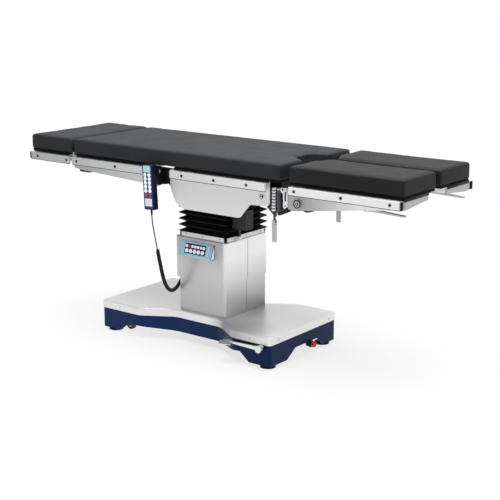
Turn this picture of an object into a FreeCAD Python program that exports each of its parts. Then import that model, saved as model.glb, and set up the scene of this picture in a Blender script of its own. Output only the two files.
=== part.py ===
import FreeCAD, Part
import math
import os

from FreeCAD import Vector

# A mobile operating table. X runs along the tabletop, with the leg end at +X and the head end at -X.
# The near side, with the handset and the pedal, is -Y. Z is up, and the floor is Z = 0.
# The origin is on the floor below the middle of the tabletop.

# Tabletop: pads, boards and the rails along both sides
pad_width = 540.0
pad_top = 895.0
pad_thickness = 70.0
pad_edge_radius = 9.0
pad_corner_radius = 10.0
board_thickness = 7.0
board_inset = 7.0
rail_height = 32.0
rail_thickness = 9.0
rail_middle_height = pad_top - 99.0
rail_standoff = 20.0
rail_cap_length = 8.0
spacer_radius = 9.0
side_plate_outer = pad_width / 2 - 14.0
side_plate_thickness = 3.0
frame_bottom = pad_top - 109.0
sheet = 3.0
running_gap = 0.05
free_gap = 0.3

# Lengthwise places of the sections
head_end = -1024.0
head_section_end = -749.0
back_section_start = -739.0
back_hinge_x = -170.0
back_hinge_z = pad_top - 105.0
pad_fold_half = 82.0
seat_end = 445.0
leg_start = 484.0
leg_end = 1026.0
leg_gap = 27.0
leg_chamfer_x = 47.0
leg_chamfer_y = 91.0
notch_depth = 75.0
notch_half_mouth = 100.0
notch_half_floor = 58.0
head_soft_end = 86.0

# Head hinge
head_hinge_x = -739.0
head_hinge_z = pad_top - 127.0
head_lug_radius = 13.0
head_lug_inner = side_plate_outer - 24.0
head_lug_outer = side_plate_outer - 6.0
head_pin_radius = 8.0
head_rail_start = head_end + 20.0
head_rail_end = -748.0
back_rail_start = -730.0
back_rail_end = -205.0
back_plate_end = -205.0

# Back hinge
back_lug_radius = 20.0
back_pin_radius = 10.0
back_arm_inner = side_plate_outer - 28.0
back_arm_outer = side_plate_outer - 10.0
seat_lug_inner = side_plate_outer - 51.0
seat_lug_outer = side_plate_outer - 30.0

# Column and lift
column_x = -64.0
tilt_z = pad_top - 160.0
trend_z = tilt_z - 67.0
trunnion_radius = 15.0
trunnion_length = 28.0
casing_left = -200.0
casing_right = 68.0
casing_half_width = 145.0
casing_top = 351.0
casing_corner = 4.0
casing_wall = 2.0
slide_gap = 1.0
shell_wall = 1.5
sleeve_left = -217.0
sleeve_bottom = 301.0
sleeve_top = 492.0
shoulder = 6.0
shroud_bottom = 303.0
shroud_top = 391.0
neck_top = 512.0
neck_inset = 7.5
neck_head_inset = 23.0
strip_thickness = 3.0
pillar_width = 110.0
pillar_wall = 8.0
pillar_top = 465.0
mast_width = 140.0
mast_wall = 12.0
mast_bottom = 220.0
head_plate_bottom = trend_z - 62.0
head_plate_thickness = 16.0
head_plate_half_x = 105.0
head_plate_half_y = 105.0
ram_radius = 22.0
cylinder_radius = 35.0
cylinder_top = 420.0
ring_half_x = 125.0
ring_half_y = 128.0
ring_bottom = trend_z + 26.0
ring_thickness = 8.0
pleat_pitch = 27.6
first_tip = 543.0
pleat_depth = 24.0
bellows_wall = 2.0

# Base
base_left = -594.0
base_right = 388.0
base_half_width = 249.0
waist_half_width = base_half_width - 86.0
left_lobe_end = base_left + 239.0
left_waist = base_left + 379.0
right_waist = base_right - 338.0
right_lobe_start = base_right - 203.0
waist_bend_radius = 90.0
base_corner_radius = 14.0
skirt_bottom = 16.0
skirt_top = 110.0
skirt_wall = 5.0
cover_lip = 2.0
cover_top = 145.0
cover_wall = 2.0
arch_top = 57.0
arch_waist = 42.0
arch_left_foot = base_left + 109.0
arch_left_top = base_left + 169.0
arch_right_top = base_right - 163.0
arch_right_foot = base_right - 113.0
end_arch_near_foot = -125.0
end_arch_near_top = -62.0
end_arch_far_top = 106.0
end_arch_far_foot = 150.0
chassis_bottom = 60.0
chassis_top = 82.0

# Castors and floor pads
castor_left_x = base_left + 124.0
castor_right_x = base_right - 133.0
castor_y = base_half_width - 81.0
wheel_radius = 25.0
wheel_width = 20.0
castor_trail = 18.0
castor_stem_radius = 6.0
castor_axle_radius = 4.0
floor_pad_radius = 34.0
floor_pad_height = 9.0
floor_pad_margin = 38.5
floor_pad_stem_radius = 9.0
floor_pad_stem_top = 96.0

# Brake pedal and stop button
pedal_x = base_right - 42.0
pedal_z = 96.0
pedal_hub_radius = 16.0
pedal_shaft_radius = 8.0
pedal_hub_start = base_half_width + 5.0
pedal_hub_length = 26.0
pedal_arm = 157.0
pedal_plate_tilt = 16.0
button_y = 52.0
button_z = 45.0
button_radius = 14.0
button_stem_radius = 5.0
button_travel = 5.0

# Leg section hinges, on the near side and mirrored to the far side
leg_pitch_x = 401.0
leg_pitch_z = pad_top - 135.0
leg_shaft_radius = 14.0
leg_post_y = side_plate_outer - 16.0
leg_lug_inner = side_plate_outer - 106.0
leg_lug_outer = side_plate_outer - 42.0
barrel_radius = 11.0
barrel_bottom = leg_pitch_z - 68.0
barrel_top = leg_pitch_z + 34.0
spread_x = 427.0
spread_radius = 13.0
spread_pin_radius = 8.0
spread_bottom = leg_pitch_z - 67.0
spread_top = leg_pitch_z + 23.0
catch_z = leg_pitch_z - 108.0
catch_length = 88.0
leg_frame_start = 490.0
leg_frame_end = 1020.0
leg_frame_inner = 74.0
leg_frame_bottom = pad_top - 119.0
leg_plate_low = leg_frame_bottom - 67.0
leg_rail_start = 501.0
leg_rail_end = 1016.0
release_x = 846.0
release_z = pad_top - 139.0
release_y = side_plate_outer - 18.0
release_half_width = 8.0
release_length = 168.0

# Seat
seat_plate_left = -152.0
seat_plate_right = 388.0
seat_plate_low = pad_top - 250.0
seat_frame_left = -150.0
seat_frame_right = 385.0
seat_rail_start = -130.0
seat_rail_end = 384.0
beam_inner = side_plate_outer - 61.0
beam_outer = side_plate_outer - 26.0

# Handset and its cord
handset_x = -232.0
handset_width = 60.0
handset_depth = 30.0
handset_height = 200.0
handset_top = rail_middle_height + 36.0
handset_lean = 3.0
lead_radius = 2.6
curl_radius = 9.0
cord_low = 233.0

# Worked out from the sizes above
pad_bottom = pad_top - pad_thickness
frame_top = pad_bottom - board_thickness
half_pad = pad_width / 2
side_plate_inner = side_plate_outer - side_plate_thickness
rail_inner = side_plate_outer + rail_standoff
rail_outer = rail_inner + rail_thickness
handset_back = rail_outer + 3.5
sleeve_gap = 2 * slide_gap + shell_wall
sleeve_half_width = casing_half_width + sleeve_gap + shell_wall
sleeve_right = casing_right + sleeve_gap + shell_wall
neck_left = sleeve_left + neck_head_inset
neck_right = sleeve_right - neck_inset
neck_half_width = sleeve_half_width - neck_inset
bellows_left = sleeve_left + 15.0
bellows_right = sleeve_right + 5.0


def save(name, shape):
    """Write one piece, or one group of equal pieces, to its own file."""
    shape.exportStep(os.path.join("parts", name + ".step"))


def box(x0, x1, y0, y1, z0, z1):
    return Part.makeBox(x1 - x0, y1 - y0, z1 - z0, Vector(x0, y0, z0))


def rod_x(x0, x1, y, z, radius):
    return Part.makeCylinder(radius, x1 - x0, Vector(x0, y, z), Vector(1, 0, 0))


def rod_y(x, y0, y1, z, radius):
    return Part.makeCylinder(radius, y1 - y0, Vector(x, y0, z), Vector(0, 1, 0))


def rod_z(x, y, z0, z1, radius):
    return Part.makeCylinder(radius, z1 - z0, Vector(x, y, z0), Vector(0, 0, 1))


def rounded_wire(points, radii):
    """A closed outline through the points, each corner rounded by its own radius."""
    count = len(points)
    spans = []
    for i, corner in enumerate(points):
        before = (points[i - 1] - corner).normalize()
        after = (points[(i + 1) % count] - corner).normalize()
        radius = radii[i]
        if radius <= 0:
            spans.append((corner, None, corner))
            continue
        half = before.getAngle(after) / 2
        reach = radius / math.tan(half)
        start = corner + before * reach
        end = corner + after * reach
        bisector = (before + after).normalize()
        centre = corner + bisector * (radius / math.sin(half))
        middle = centre - bisector * radius
        spans.append((start, middle, end))
    edges = []
    for i, (start, middle, end) in enumerate(spans):
        if middle is not None:
            edges.append(Part.Arc(start, middle, end).toShape())
        following = spans[(i + 1) % count][0]
        if end.distanceToPoint(following) > 1e-6:
            edges.append(Part.LineSegment(end, following).toShape())
    return Part.Wire(edges)


def radii_for(points, radii):
    return radii if isinstance(radii, (list, tuple)) else [radii] * len(points)


def plan_face(points, radii, z):
    corners = [Vector(x, y, z) for x, y in points]
    return Part.Face(rounded_wire(corners, radii_for(points, radii)))


def plan_prism(points, radii, z0, z1):
    """An outline in plan, raised from z0 to z1."""
    return plan_face(points, radii, z0).extrude(Vector(0, 0, z1 - z0))


def side_prism(points, radii, y0, y1):
    """An outline seen from the side, in X and Z, carried from y0 to y1."""
    corners = [Vector(x, y0, z) for x, z in points]
    face = Part.Face(rounded_wire(corners, radii_for(points, radii)))
    return face.extrude(Vector(0, y1 - y0, 0))


def end_prism(points, radii, x0, x1):
    """An outline seen from the end, in Y and Z, carried from x0 to x1."""
    corners = [Vector(x0, y, z) for y, z in points]
    face = Part.Face(rounded_wire(corners, radii_for(points, radii)))
    return face.extrude(Vector(x1 - x0, 0, 0))


def rectangle(x0, x1, y0, y1):
    return [(x0, y0), (x1, y0), (x1, y1), (x0, y1)]


def join(first, *others):
    return first.multiFuse(list(others)).removeSplitter()


def mirrored(shape):
    return shape.mirror(Vector(0, 0, 0), Vector(0, 1, 0))


def both_sides(shape):
    return [shape, mirrored(shape)]


def soft_block(points, radii, z0, z1):
    """A pad of foam under its cover, with rounded edges above and below."""
    block = plan_prism(points, radii, z0, z1)
    level = [e for e in block.Edges if abs(e.BoundBox.ZLength) < 1e-6]
    return block.makeFillet(pad_edge_radius, level)


def soft_end_block(x0, x1, rounded_left, rounded_right):
    """A straight stretch of pad across the table, rounded only at its own free ends."""
    left = pad_corner_radius if rounded_left else 0
    right = pad_corner_radius if rounded_right else 0
    points = rectangle(x0, x1, -half_pad, half_pad)
    block = plan_prism(points, [left, right, right, left], pad_bottom, pad_top)
    cuts = [x for x, kept in ((x0, rounded_left), (x1, rounded_right)) if not kept]
    level = []
    for edge in block.Edges:
        span = edge.BoundBox
        flat = abs(span.ZLength) < 1e-6
        on_cut = any(span.XLength < 1e-6 and abs(span.XMin - x) < 1e-6 for x in cuts)
        if flat and not on_cut:
            level.append(edge)
    return block.makeFillet(pad_edge_radius, level)


# Base

def base_outline(grow):
    """The waisted plan of the base, larger or smaller all round by grow."""
    half = base_half_width + grow
    waist = waist_half_width + grow
    near = [
        (base_left - grow, -half),
        (left_lobe_end, -half),
        (left_waist, -waist),
        (right_waist, -waist),
        (right_lobe_start, -half),
        (base_right + grow, -half),
    ]
    corner = max(base_corner_radius + grow, 2.0)
    bends = [corner, waist_bend_radius, waist_bend_radius, waist_bend_radius, waist_bend_radius, corner]
    far = [(x, -y) for x, y in reversed(near)]
    return near + far, bends + bends


def base_block(grow, z0, z1):
    points, radii = base_outline(grow)
    return plan_prism(points, radii, z0, z1)


def castor_places():
    names = []
    for end, x in (("head", castor_left_x), ("leg", castor_right_x)):
        for side, y in (("near", -castor_y), ("far", castor_y)):
            names.append((side + "_" + end, x, y))
    return names


def floor_pad_places():
    left = base_left + skirt_wall + floor_pad_margin
    right = base_right - skirt_wall - floor_pad_margin
    across = base_half_width - skirt_wall - floor_pad_margin
    return [(x, y) for x in (left, right) for y in (-across, across)]


def base_chassis():
    """The steel plate that carries the column, the castors and the floor pads."""
    plate = base_block(-skirt_wall - free_gap, chassis_bottom, chassis_top)
    bearing_width = 32.0
    bearing = box(
        pedal_x - bearing_width / 2, pedal_x + bearing_width / 2,
        -base_half_width + skirt_wall + 2, -base_half_width + skirt_wall + 22,
        chassis_top, skirt_top - 1,
    )
    plate = join(plate, bearing)
    for name, x, y in castor_places():
        plate = plate.cut(rod_z(x, y, chassis_bottom - 1, chassis_top + 1, castor_stem_radius + running_gap))
    for x, y in floor_pad_places():
        plate = plate.cut(rod_z(x, y, chassis_bottom - 1, chassis_top + 1, floor_pad_stem_radius + running_gap))
    shaft = rod_y(pedal_x, -base_half_width, -base_half_width + 60, pedal_z, pedal_shaft_radius + running_gap)
    return plate.cut(shaft)


def base_skirt():
    """The moulded skirt, open below, with an arch along each side and across each end."""
    shell = base_block(0, skirt_bottom, skirt_top).cut(base_block(-skirt_wall, 0, skirt_top + 1))
    low = -5.0
    side_arch = [
        (arch_left_foot, low), (arch_left_foot, skirt_bottom), (arch_left_top, arch_top),
        (left_lobe_end, arch_top), (left_waist, arch_waist), (right_waist, arch_waist),
        (right_lobe_start, arch_top - 3), (arch_right_top, arch_top),
        (arch_right_foot, skirt_bottom), (arch_right_foot, low),
    ]
    side_bends = [0, 0, 14.0, 60.0, 60.0, 60.0, 30.0, 14.0, 0, 0]
    end_arch = [
        (end_arch_near_foot, low), (end_arch_near_foot, skirt_bottom), (end_arch_near_top, arch_top),
        (end_arch_far_top, arch_top), (end_arch_far_foot, skirt_bottom), (end_arch_far_foot, low),
    ]
    bends = [0, 0, 14.0, 14.0, 0, 0]
    shell = shell.cut(side_prism(side_arch, side_bends, -base_half_width - 10, base_half_width + 10))
    shell = shell.cut(end_prism(end_arch, bends, base_left - 10, base_right + 10))
    boss_radius = chassis_bottom - button_z - 0.5
    boss = rod_x(base_right - 16, base_right, button_y, button_z, boss_radius)
    boss = join(boss, box(base_right - skirt_wall, base_right, button_y - 14, button_y + 14, button_z, arch_top + 6))
    shell = join(shell, boss)
    shell = shell.cut(rod_x(base_right - 20, base_right + 5, button_y, button_z, button_stem_radius + running_gap))
    hole = rod_y(pedal_x, -base_half_width - 5, -base_half_width + skirt_wall + 1, pedal_z, pedal_shaft_radius + 0.5)
    return shell.cut(hole)


def base_cover():
    """The stainless lid over the skirt, a shallow folded tray with a hole for the column."""
    bottom = skirt_top
    tray = base_block(cover_lip, bottom, cover_top)
    rim = [e for e in tray.Edges if abs(e.BoundBox.ZLength) < 1e-6 and e.BoundBox.ZMin > cover_top - 1]
    tray = tray.makeFillet(5.0, rim)
    tray = tray.cut(base_block(cover_lip - 12.0, bottom - 1, cover_top - cover_wall))
    opening = 5.0
    hole = box(
        casing_left + opening, casing_right - opening,
        -casing_half_width + opening, casing_half_width - opening, bottom - 1, cover_top + 1,
    )
    return tray.cut(hole)


def rectangular_shell(x0, x1, half_width, z0, z1, wall, corner):
    """An upright sheet-metal tube of rectangular plan with rounded corners."""
    outer = plan_prism(rectangle(x0, x1, -half_width, half_width), corner, z0, z1)
    inner = rectangle(x0 + wall, x1 - wall, -half_width + wall, half_width - wall)
    return outer.cut(plan_prism(inner, max(corner - wall, 1.0), z0 - 1, z1 + 1))


def lower_casing():
    return rectangular_shell(
        casing_left, casing_right, casing_half_width, cover_top, casing_top, casing_wall, casing_corner
    )


def middle_shroud():
    """The short telescoping shroud that hides the gap between casing and sleeve as the table rises."""
    grow = slide_gap + shell_wall
    left = sleeve_left + shell_wall + slide_gap
    return rectangular_shell(
        left, casing_right + grow, casing_half_width + grow,
        shroud_bottom, shroud_top, shell_wall, casing_corner + grow,
    )


def column_pillar():
    """The fixed square pillar, with a foot and a wider slide collar near its top."""
    half = pillar_width / 2
    collar_half = mast_width / 2 - mast_wall - running_gap
    foot = box(column_x - 95, column_x + 95, -95, 95, chassis_top, chassis_top + 4)
    body = box(column_x - half, column_x + half, -half, half, chassis_top, pillar_top)
    collar_low = pillar_top - 25
    collar = box(column_x - collar_half, column_x + collar_half, -collar_half, collar_half, collar_low, pillar_top)
    bore = half - pillar_wall
    hollow = box(column_x - bore, column_x + bore, -bore, bore, chassis_top, pillar_top + 1)
    return join(foot, body, collar).cut(hollow)


def lift_cylinder():
    tube = rod_z(column_x, 0, chassis_top, cylinder_top, cylinder_radius)
    return tube.cut(rod_z(column_x, 0, chassis_top + 18, cylinder_top + 1, ram_radius + running_gap))


def floor_pads():
    """Four rubber-faced pads on round stems, which the pedal draws up together."""
    pads = []
    for x, y in floor_pad_places():
        disc = rod_z(x, y, 0, floor_pad_height, floor_pad_radius)
        rim = [e for e in disc.Edges if abs(e.BoundBox.ZLength) < 1e-6 and e.BoundBox.ZMin > 1]
        disc = disc.makeFillet(3.0, rim)
        pads.append(join(disc, rod_z(x, y, floor_pad_height - 1, floor_pad_stem_top, floor_pad_stem_radius)))
    return Part.makeCompound(pads)


def castor_fork(x, y):
    crown_low = chassis_bottom - 7
    crown = rod_z(x, y, crown_low, chassis_bottom - 1, 16.0)
    washer = rod_z(x, y, chassis_bottom - 1, chassis_bottom - free_gap, 10.0)
    stem = rod_z(x, y, chassis_bottom - 1, chassis_top - 2, castor_stem_radius)
    axle_x = x - castor_trail
    inner = wheel_width / 2 + 1.5
    leg = side_prism(
        [(x - 9, crown_low + 1), (x + 14, crown_low + 1), (axle_x + 8, wheel_radius - 6), (axle_x - 8, wheel_radius - 6)],
        [0, 0, 5.0, 5.0], y + inner, y + inner + sheet,
    )
    other = leg.copy()
    other.translate(Vector(0, -2 * inner - sheet, 0))
    axle = rod_y(axle_x, y - inner - sheet, y + inner + sheet, wheel_radius, castor_axle_radius)
    return join(crown, washer, stem, leg, other, axle)


def castor_wheel(x, y):
    axle_x = x - castor_trail
    half = wheel_width / 2
    wheel = rod_y(axle_x, y - half, y + half, wheel_radius, wheel_radius)
    wheel = wheel.makeFillet(4.0, wheel.Edges[0:1] + wheel.Edges[2:3])
    return wheel.cut(rod_y(axle_x, y - half - 1, y + half + 1, wheel_radius, castor_axle_radius + running_gap))


def brake_pedal():
    """A hub on its shaft, a flat arm along the skirt and a turned-out foot plate."""
    hub_y = -pedal_hub_start - pedal_hub_length
    shaft = rod_y(pedal_x, hub_y + 4, -base_half_width + skirt_wall + 20, pedal_z, pedal_shaft_radius)
    hub = rod_y(pedal_x, hub_y, -pedal_hub_start, pedal_z, pedal_hub_radius)
    arm_end = pedal_x - pedal_arm
    arm = side_prism(
        [(pedal_x, pedal_z - 9), (pedal_x, pedal_z + 9), (arm_end, pedal_z + 5), (arm_end, pedal_z - 4)],
        [0, 0, 3.0, 3.0], -pedal_hub_start - 16, -pedal_hub_start - 4,
    )
    edge = -pedal_hub_start - 2
    top = pedal_z + 5
    plate = plan_prism(
        [(arm_end + 18, edge), (arm_end - 24, edge), (arm_end - 54, edge - 19), (arm_end - 44, edge - 44),
         (arm_end + 12, edge - 32)],
        6.0, top - 4, top,
    )
    plate.rotate(Vector(0, edge, top), Vector(1, 0, 0), pedal_plate_tilt)
    return join(shaft, hub, arm, plate)


def stop_button():
    face = base_right + button_travel + 2
    stem = rod_x(base_right - 30, face + 1, button_y, button_z, button_stem_radius)
    head = rod_x(face, face + 16, button_y, button_z, button_radius)
    head = head.makeFillet(7.0, [e for e in head.Edges if e.BoundBox.XLength < 1e-6])
    return join(stem, head)


# Lift

def mast():
    half = mast_width / 2
    tube = box(column_x - half, column_x + half, -half, half, mast_bottom, head_plate_bottom)
    inner = half - mast_wall
    tube = tube.cut(box(column_x - inner, column_x + inner, -inner, inner, mast_bottom - 1, head_plate_bottom + 1))
    margin = casing_wall + 3
    across = casing_half_width - margin
    ceiling = sleeve_top - shoulder
    plan = rectangle(casing_left + margin, casing_right - margin, -across, across)
    shelf = plan_prism(plan, 10.0, ceiling - 6, ceiling)
    shelf = shelf.cut(box(column_x - inner, column_x + inner, -inner, inner, ceiling - 7, ceiling + 1))
    return join(tube, shelf)


def lift_head():
    """The plate on top of the mast with the two ears that carry the tilt cross."""
    top = head_plate_bottom + head_plate_thickness
    plate = box(
        column_x - head_plate_half_x, column_x + head_plate_half_x,
        -head_plate_half_y, head_plate_half_y, head_plate_bottom, top,
    )
    ear_radius = 24.0
    inner = 58.0
    outer = 76.0
    ear = join(
        rod_y(column_x, inner, outer, trend_z, ear_radius),
        box(column_x - ear_radius, column_x + ear_radius, inner, outer, top - 1, trend_z),
    )
    bore = rod_y(column_x, -outer - 1, outer + 1, trend_z, trunnion_radius + running_gap)
    return join(plate, ear, mirrored(ear)).cut(bore)


def upper_sleeve():
    """The upper casing, closed at its top by a rounded shoulder and a low neck for the bellows."""
    points = rectangle(sleeve_left, sleeve_right, -sleeve_half_width, sleeve_half_width)
    corner = casing_corner + sleeve_gap + shell_wall
    outer = plan_prism(points, corner, sleeve_bottom, sleeve_top)
    rim = [e for e in outer.Edges if abs(e.BoundBox.ZLength) < 1e-6 and e.BoundBox.ZMin > sleeve_top - 1]
    outer = outer.makeFillet(5.0, rim)
    wall = shell_wall
    inner = rectangle(sleeve_left + wall, sleeve_right - wall, -sleeve_half_width + wall, sleeve_half_width - wall)
    ceiling = sleeve_top - shoulder
    sleeve = outer.cut(plan_prism(inner, corner - wall, sleeve_bottom - 1, ceiling))
    neck = plan_prism(neck_rectangle(0), 3.0, ceiling, neck_top)
    sleeve = join(sleeve, neck).cut(plan_prism(neck_rectangle(-5.0), 1.0, sleeve_top, neck_top + 1))
    half = mast_width / 2 + free_gap
    return sleeve.cut(box(column_x - half, column_x + half, -half, half, ceiling - 1, sleeve_top + 1))


def neck_rectangle(grow):
    return rectangle(neck_left - grow, neck_right + grow, -neck_half_width - grow, neck_half_width + grow)


def collar_strips():
    """Four clamp strips round the neck that hold the lower edge of the bellows."""
    outer = plan_prism(neck_rectangle(strip_thickness), 0, sleeve_top + free_gap, neck_top)
    ring = outer.cut(plan_prism(neck_rectangle(0), 3.0, sleeve_top - 1, neck_top + 1))
    corner = 8.0
    for x in (neck_left, neck_right):
        for y in (-neck_half_width, neck_half_width):
            ring = ring.cut(box(x - corner, x + corner, y - corner, y + corner, sleeve_top - 1, neck_top + 1))
    return Part.makeCompound(ring.Solids)


def lift_ram():
    return rod_z(column_x, 0, chassis_top + 158, head_plate_bottom, ram_radius)


def control_panel():
    """The wedge-shaped key panel on the front of the sleeve."""
    front = -sleeve_half_width
    high = sleeve_top - 17
    low = sleeve_top - 79
    profile = [(front, high), (front - 3, high), (front - 24, low), (front - 21, low - 4), (front, low - 4)]
    return end_prism(profile, [0, 2.0, 3.0, 2.0, 0], sleeve_left + 34, sleeve_left + 223)


def actuator_housing():
    """The dark housing that a narrow stem carries beside the bellows."""
    low = sleeve_top + 62
    body = box(sleeve_right + 7, sleeve_right + 80, -115, -58, low, sleeve_top + 148)
    upright = [e for e in body.Edges if e.BoundBox.ZLength > 50]
    strip_face = neck_right + strip_thickness
    foot = box(strip_face, sleeve_right + 14, -76, -62, sleeve_top + 2, neck_top - 2)
    stem = box(bellows_right + 1, sleeve_right + 14, -76, -62, sleeve_top + 2, low + 1)
    return join(foot, stem, body.makeFillet(3.0, upright))


def bellows_section(depth, z):
    half_y = sleeve_half_width - depth
    return level_wire(rectangle(bellows_left + depth, bellows_right - depth, -half_y, half_y), z)


def level_wire(points, z):
    return rounded_wire([Vector(x, y, z) for x, y in points], [5.0] * 4)


def bellows_stack(shrink):
    """A pleated body through narrow and wide outlines, thinner all round by shrink."""
    sections = [level_wire(neck_rectangle(-shrink), neck_top)]
    sections.append(bellows_section(shrink, first_tip - pleat_pitch))
    sections.append(bellows_section(pleat_depth + shrink, first_tip - pleat_pitch / 2))
    tip = first_tip
    while tip + pleat_pitch / 2 < ring_bottom:
        sections.append(bellows_section(shrink, tip))
        sections.append(bellows_section(pleat_depth + shrink, tip + pleat_pitch / 2))
        tip += pleat_pitch
    sections.append(bellows_section(pleat_depth + shrink, ring_bottom))
    return Part.makeLoft(sections, True, True)


def bellows():
    return bellows_stack(0).cut(bellows_stack(bellows_wall))


# Tilt cross

def tilt_cross():
    """The cast cross: trunnions along Y in the lift head, trunnions along X in the seat."""
    reach = 50.0
    hub = rod_y(column_x, -reach, reach, trend_z, 24.0)
    lower = rod_y(column_x, -reach - trunnion_length, reach + trunnion_length, trend_z, trunnion_radius)
    web = box(column_x - 30, column_x + 30, -30, 30, trend_z - 15, tilt_z)
    barrel = rod_x(column_x - reach, column_x + reach, 0, tilt_z, 24.0)
    upper = rod_x(column_x - reach - trunnion_length, column_x + reach + trunnion_length, 0, tilt_z, trunnion_radius)
    ring = plan_prism(
        rectangle(column_x - ring_half_x, column_x + ring_half_x, -ring_half_y, ring_half_y),
        10.0, ring_bottom, ring_bottom + ring_thickness,
    )
    return join(hub, lower, web, barrel, upper, ring)


# Seat

def seat_frame():
    """The welded frame under the seat, with lugs for the tilt cross, the back and the legs."""
    low = frame_bottom - 2
    parts = []
    for side in (-1, 1):
        y0, y1 = sorted((side * beam_inner, side * beam_outer))
        parts.append(box(seat_frame_left, seat_frame_right, y0, y1, low, frame_top))
        for x0 in (-100.0, 100.0):
            a, b = sorted((side * (beam_outer - 1), side * side_plate_inner))
            parts.append(box(x0, x0 + 40, a, b, low + 2, frame_top - 2))
        a, b = sorted((side * (beam_outer - 1), side * side_plate_inner))
        parts.append(box(seat_frame_right - 18, seat_frame_right - 7, a, b, low + 2, frame_top - 2))
        a, b = sorted((side * seat_lug_inner, side * seat_lug_outer))
        lug = join(
            rod_y(back_hinge_x, a, b, back_hinge_z, back_lug_radius),
            box(back_hinge_x, seat_frame_left + 1, a, b, back_hinge_z - back_lug_radius, back_hinge_z + back_lug_radius),
        )
        parts.append(lug)
        a, b = sorted((side * leg_lug_inner, side * leg_lug_outer))
        parts.append(box(leg_pitch_x - 18, leg_pitch_x + 18, a, b, leg_pitch_z - 18, frame_top - 6))
        parts.append(box(seat_frame_right - 6, leg_pitch_x, a, b, low, frame_top - 6))
    for x0, x1 in ((seat_frame_left, seat_frame_left + 35), (seat_frame_right - 35, seat_frame_right)):
        parts.append(box(x0, x1, -beam_inner - 1, beam_inner + 1, low, frame_top))
    lug_radius = 24.0
    for x0 in (column_x - 77, column_x + 57):
        parts.append(box(x0, x0 + 20, -beam_inner - 1, beam_inner + 1, low, frame_top))
        parts.append(box(x0, x0 + 20, -lug_radius, lug_radius, tilt_z, low + 1))
        parts.append(rod_x(x0, x0 + 20, 0, tilt_z, lug_radius))
    frame = join(*parts)
    frame = frame.cut(rod_x(column_x - 90, column_x + 90, 0, tilt_z, trunnion_radius + running_gap))
    frame = frame.cut(rod_y(back_hinge_x, -300, 300, back_hinge_z, back_pin_radius + running_gap))
    frame = frame.cut(rod_y(leg_pitch_x, -300, 300, leg_pitch_z, leg_shaft_radius + running_gap))
    return frame


def cord_socket():
    """The socket on the seat frame's back-end tube that the handset cord plugs into."""
    x = seat_frame_left
    return join(
        box(x - 6, x, -14, 14, frame_bottom + 2, frame_top - 4),
        rod_x(x - 16, x - 5, 0, (frame_bottom + frame_top) / 2, 8.0),
    )


def seat_side_plates():
    low = seat_plate_low
    outline = [
        (seat_plate_left, frame_top), (seat_plate_right, frame_top), (seat_plate_right, low + 68), (287.0, low + 64),
        (258.0, low + 31), (232.0, low), (-78.0, low), (-122.0, low + 23), (seat_plate_left, low + 90),
    ]
    bends = [4.0, 4.0, 20.0, 24.0, 30.0, 22.0, 30.0, 40.0, 60.0]
    plate = side_prism(outline, bends, side_plate_inner, side_plate_outer)
    pivot = rod_y(349.0, side_plate_outer - 1, side_plate_outer + 4, low + 107, 12.0)
    return Part.makeCompound(both_sides(join(plate, pivot)))


def rail(x0, x1, places, caps=()):
    """One side rail on round stand-offs, on the far side of the table, with its end caps."""
    low = rail_middle_height - rail_height / 2
    bar = box(x0, x1, rail_inner, rail_outer, low, low + rail_height)
    bar = bar.makeFillet(1.5, [e for e in bar.Edges if e.BoundBox.XLength > 50])
    standoffs = [rod_y(x, side_plate_outer, rail_inner + 1, rail_middle_height, spacer_radius) for x in places]
    bar = join(bar, *standoffs)
    solids = [bar]
    for x in caps:
        near = x0 - rail_cap_length if x < 0 else x1
        solids.append(box(near, near + rail_cap_length, rail_inner, rail_outer, low, low + rail_height))
    return solids


def rails(x0, x1, places, caps=()):
    solids = rail(x0, x1, places, caps)
    return Part.makeCompound(solids + [mirrored(s) for s in solids])


def notched(points_left):
    """Plan points of the seat's leg end, with the notch between the thighs."""
    half = half_pad
    return [
        (points_left, -half), (seat_end, -half), (seat_end, -notch_half_mouth),
        (seat_end - notch_depth, -notch_half_floor), (seat_end - notch_depth, notch_half_floor),
        (seat_end, notch_half_mouth), (seat_end, half), (points_left, half),
    ]


def seat_board():
    points = notched(back_hinge_x + pad_fold_half + 4)
    block = plan_prism(points, [0, 8, 6, 40, 40, 6, 8, 0], frame_top, pad_bottom)
    trim = rectangle(back_hinge_x, seat_end - board_inset, -half_pad + board_inset, half_pad - board_inset)
    block = block.common(plan_prism(trim, 4.0, frame_top - 1, pad_bottom + 1))
    return block.Solids[0]


def seat_pad():
    left = back_hinge_x + pad_fold_half
    block = plan_prism(notched(left), [0, pad_corner_radius, 16, 42, 42, 16, pad_corner_radius, 0], pad_bottom, pad_top)
    level = []
    for edge in block.Edges:
        span = edge.BoundBox
        on_cut = span.XLength < 1e-6 and abs(span.XMin - left) < 1e-6
        if abs(span.ZLength) < 1e-6 and not on_cut:
            level.append(edge)
    return block.makeFillet(pad_edge_radius, level)


def pad_fold():
    """The stretch of foam that bends where the back section is hinged."""
    reach = pad_fold_half - free_gap
    return soft_end_block(back_hinge_x - reach, back_hinge_x + reach, False, False)


def hinge_gearboxes():
    """The dark drive housings beside the back hinge and behind the leg hinges."""
    low = back_hinge_z - 62
    high = back_hinge_z - 9
    left = back_hinge_x - 36
    points = [(left, low), (left + 54, low), (left + 54, high), (left, high)]
    block = side_prism(points, 10.0, seat_lug_inner - 45, seat_lug_inner)
    high = frame_bottom - 2
    low = leg_pitch_z - 55
    right = leg_pitch_x - 23
    drive = side_prism(
        [(right - 78, low + 14), (right - 60, low), (right, low), (right, high), (right - 78, high)],
        [6.0, 6.0, 6.0, 0, 0], leg_lug_inner, leg_lug_outer + 8,
    )
    return Part.makeCompound(both_sides(block) + both_sides(drive))


# Back

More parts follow.
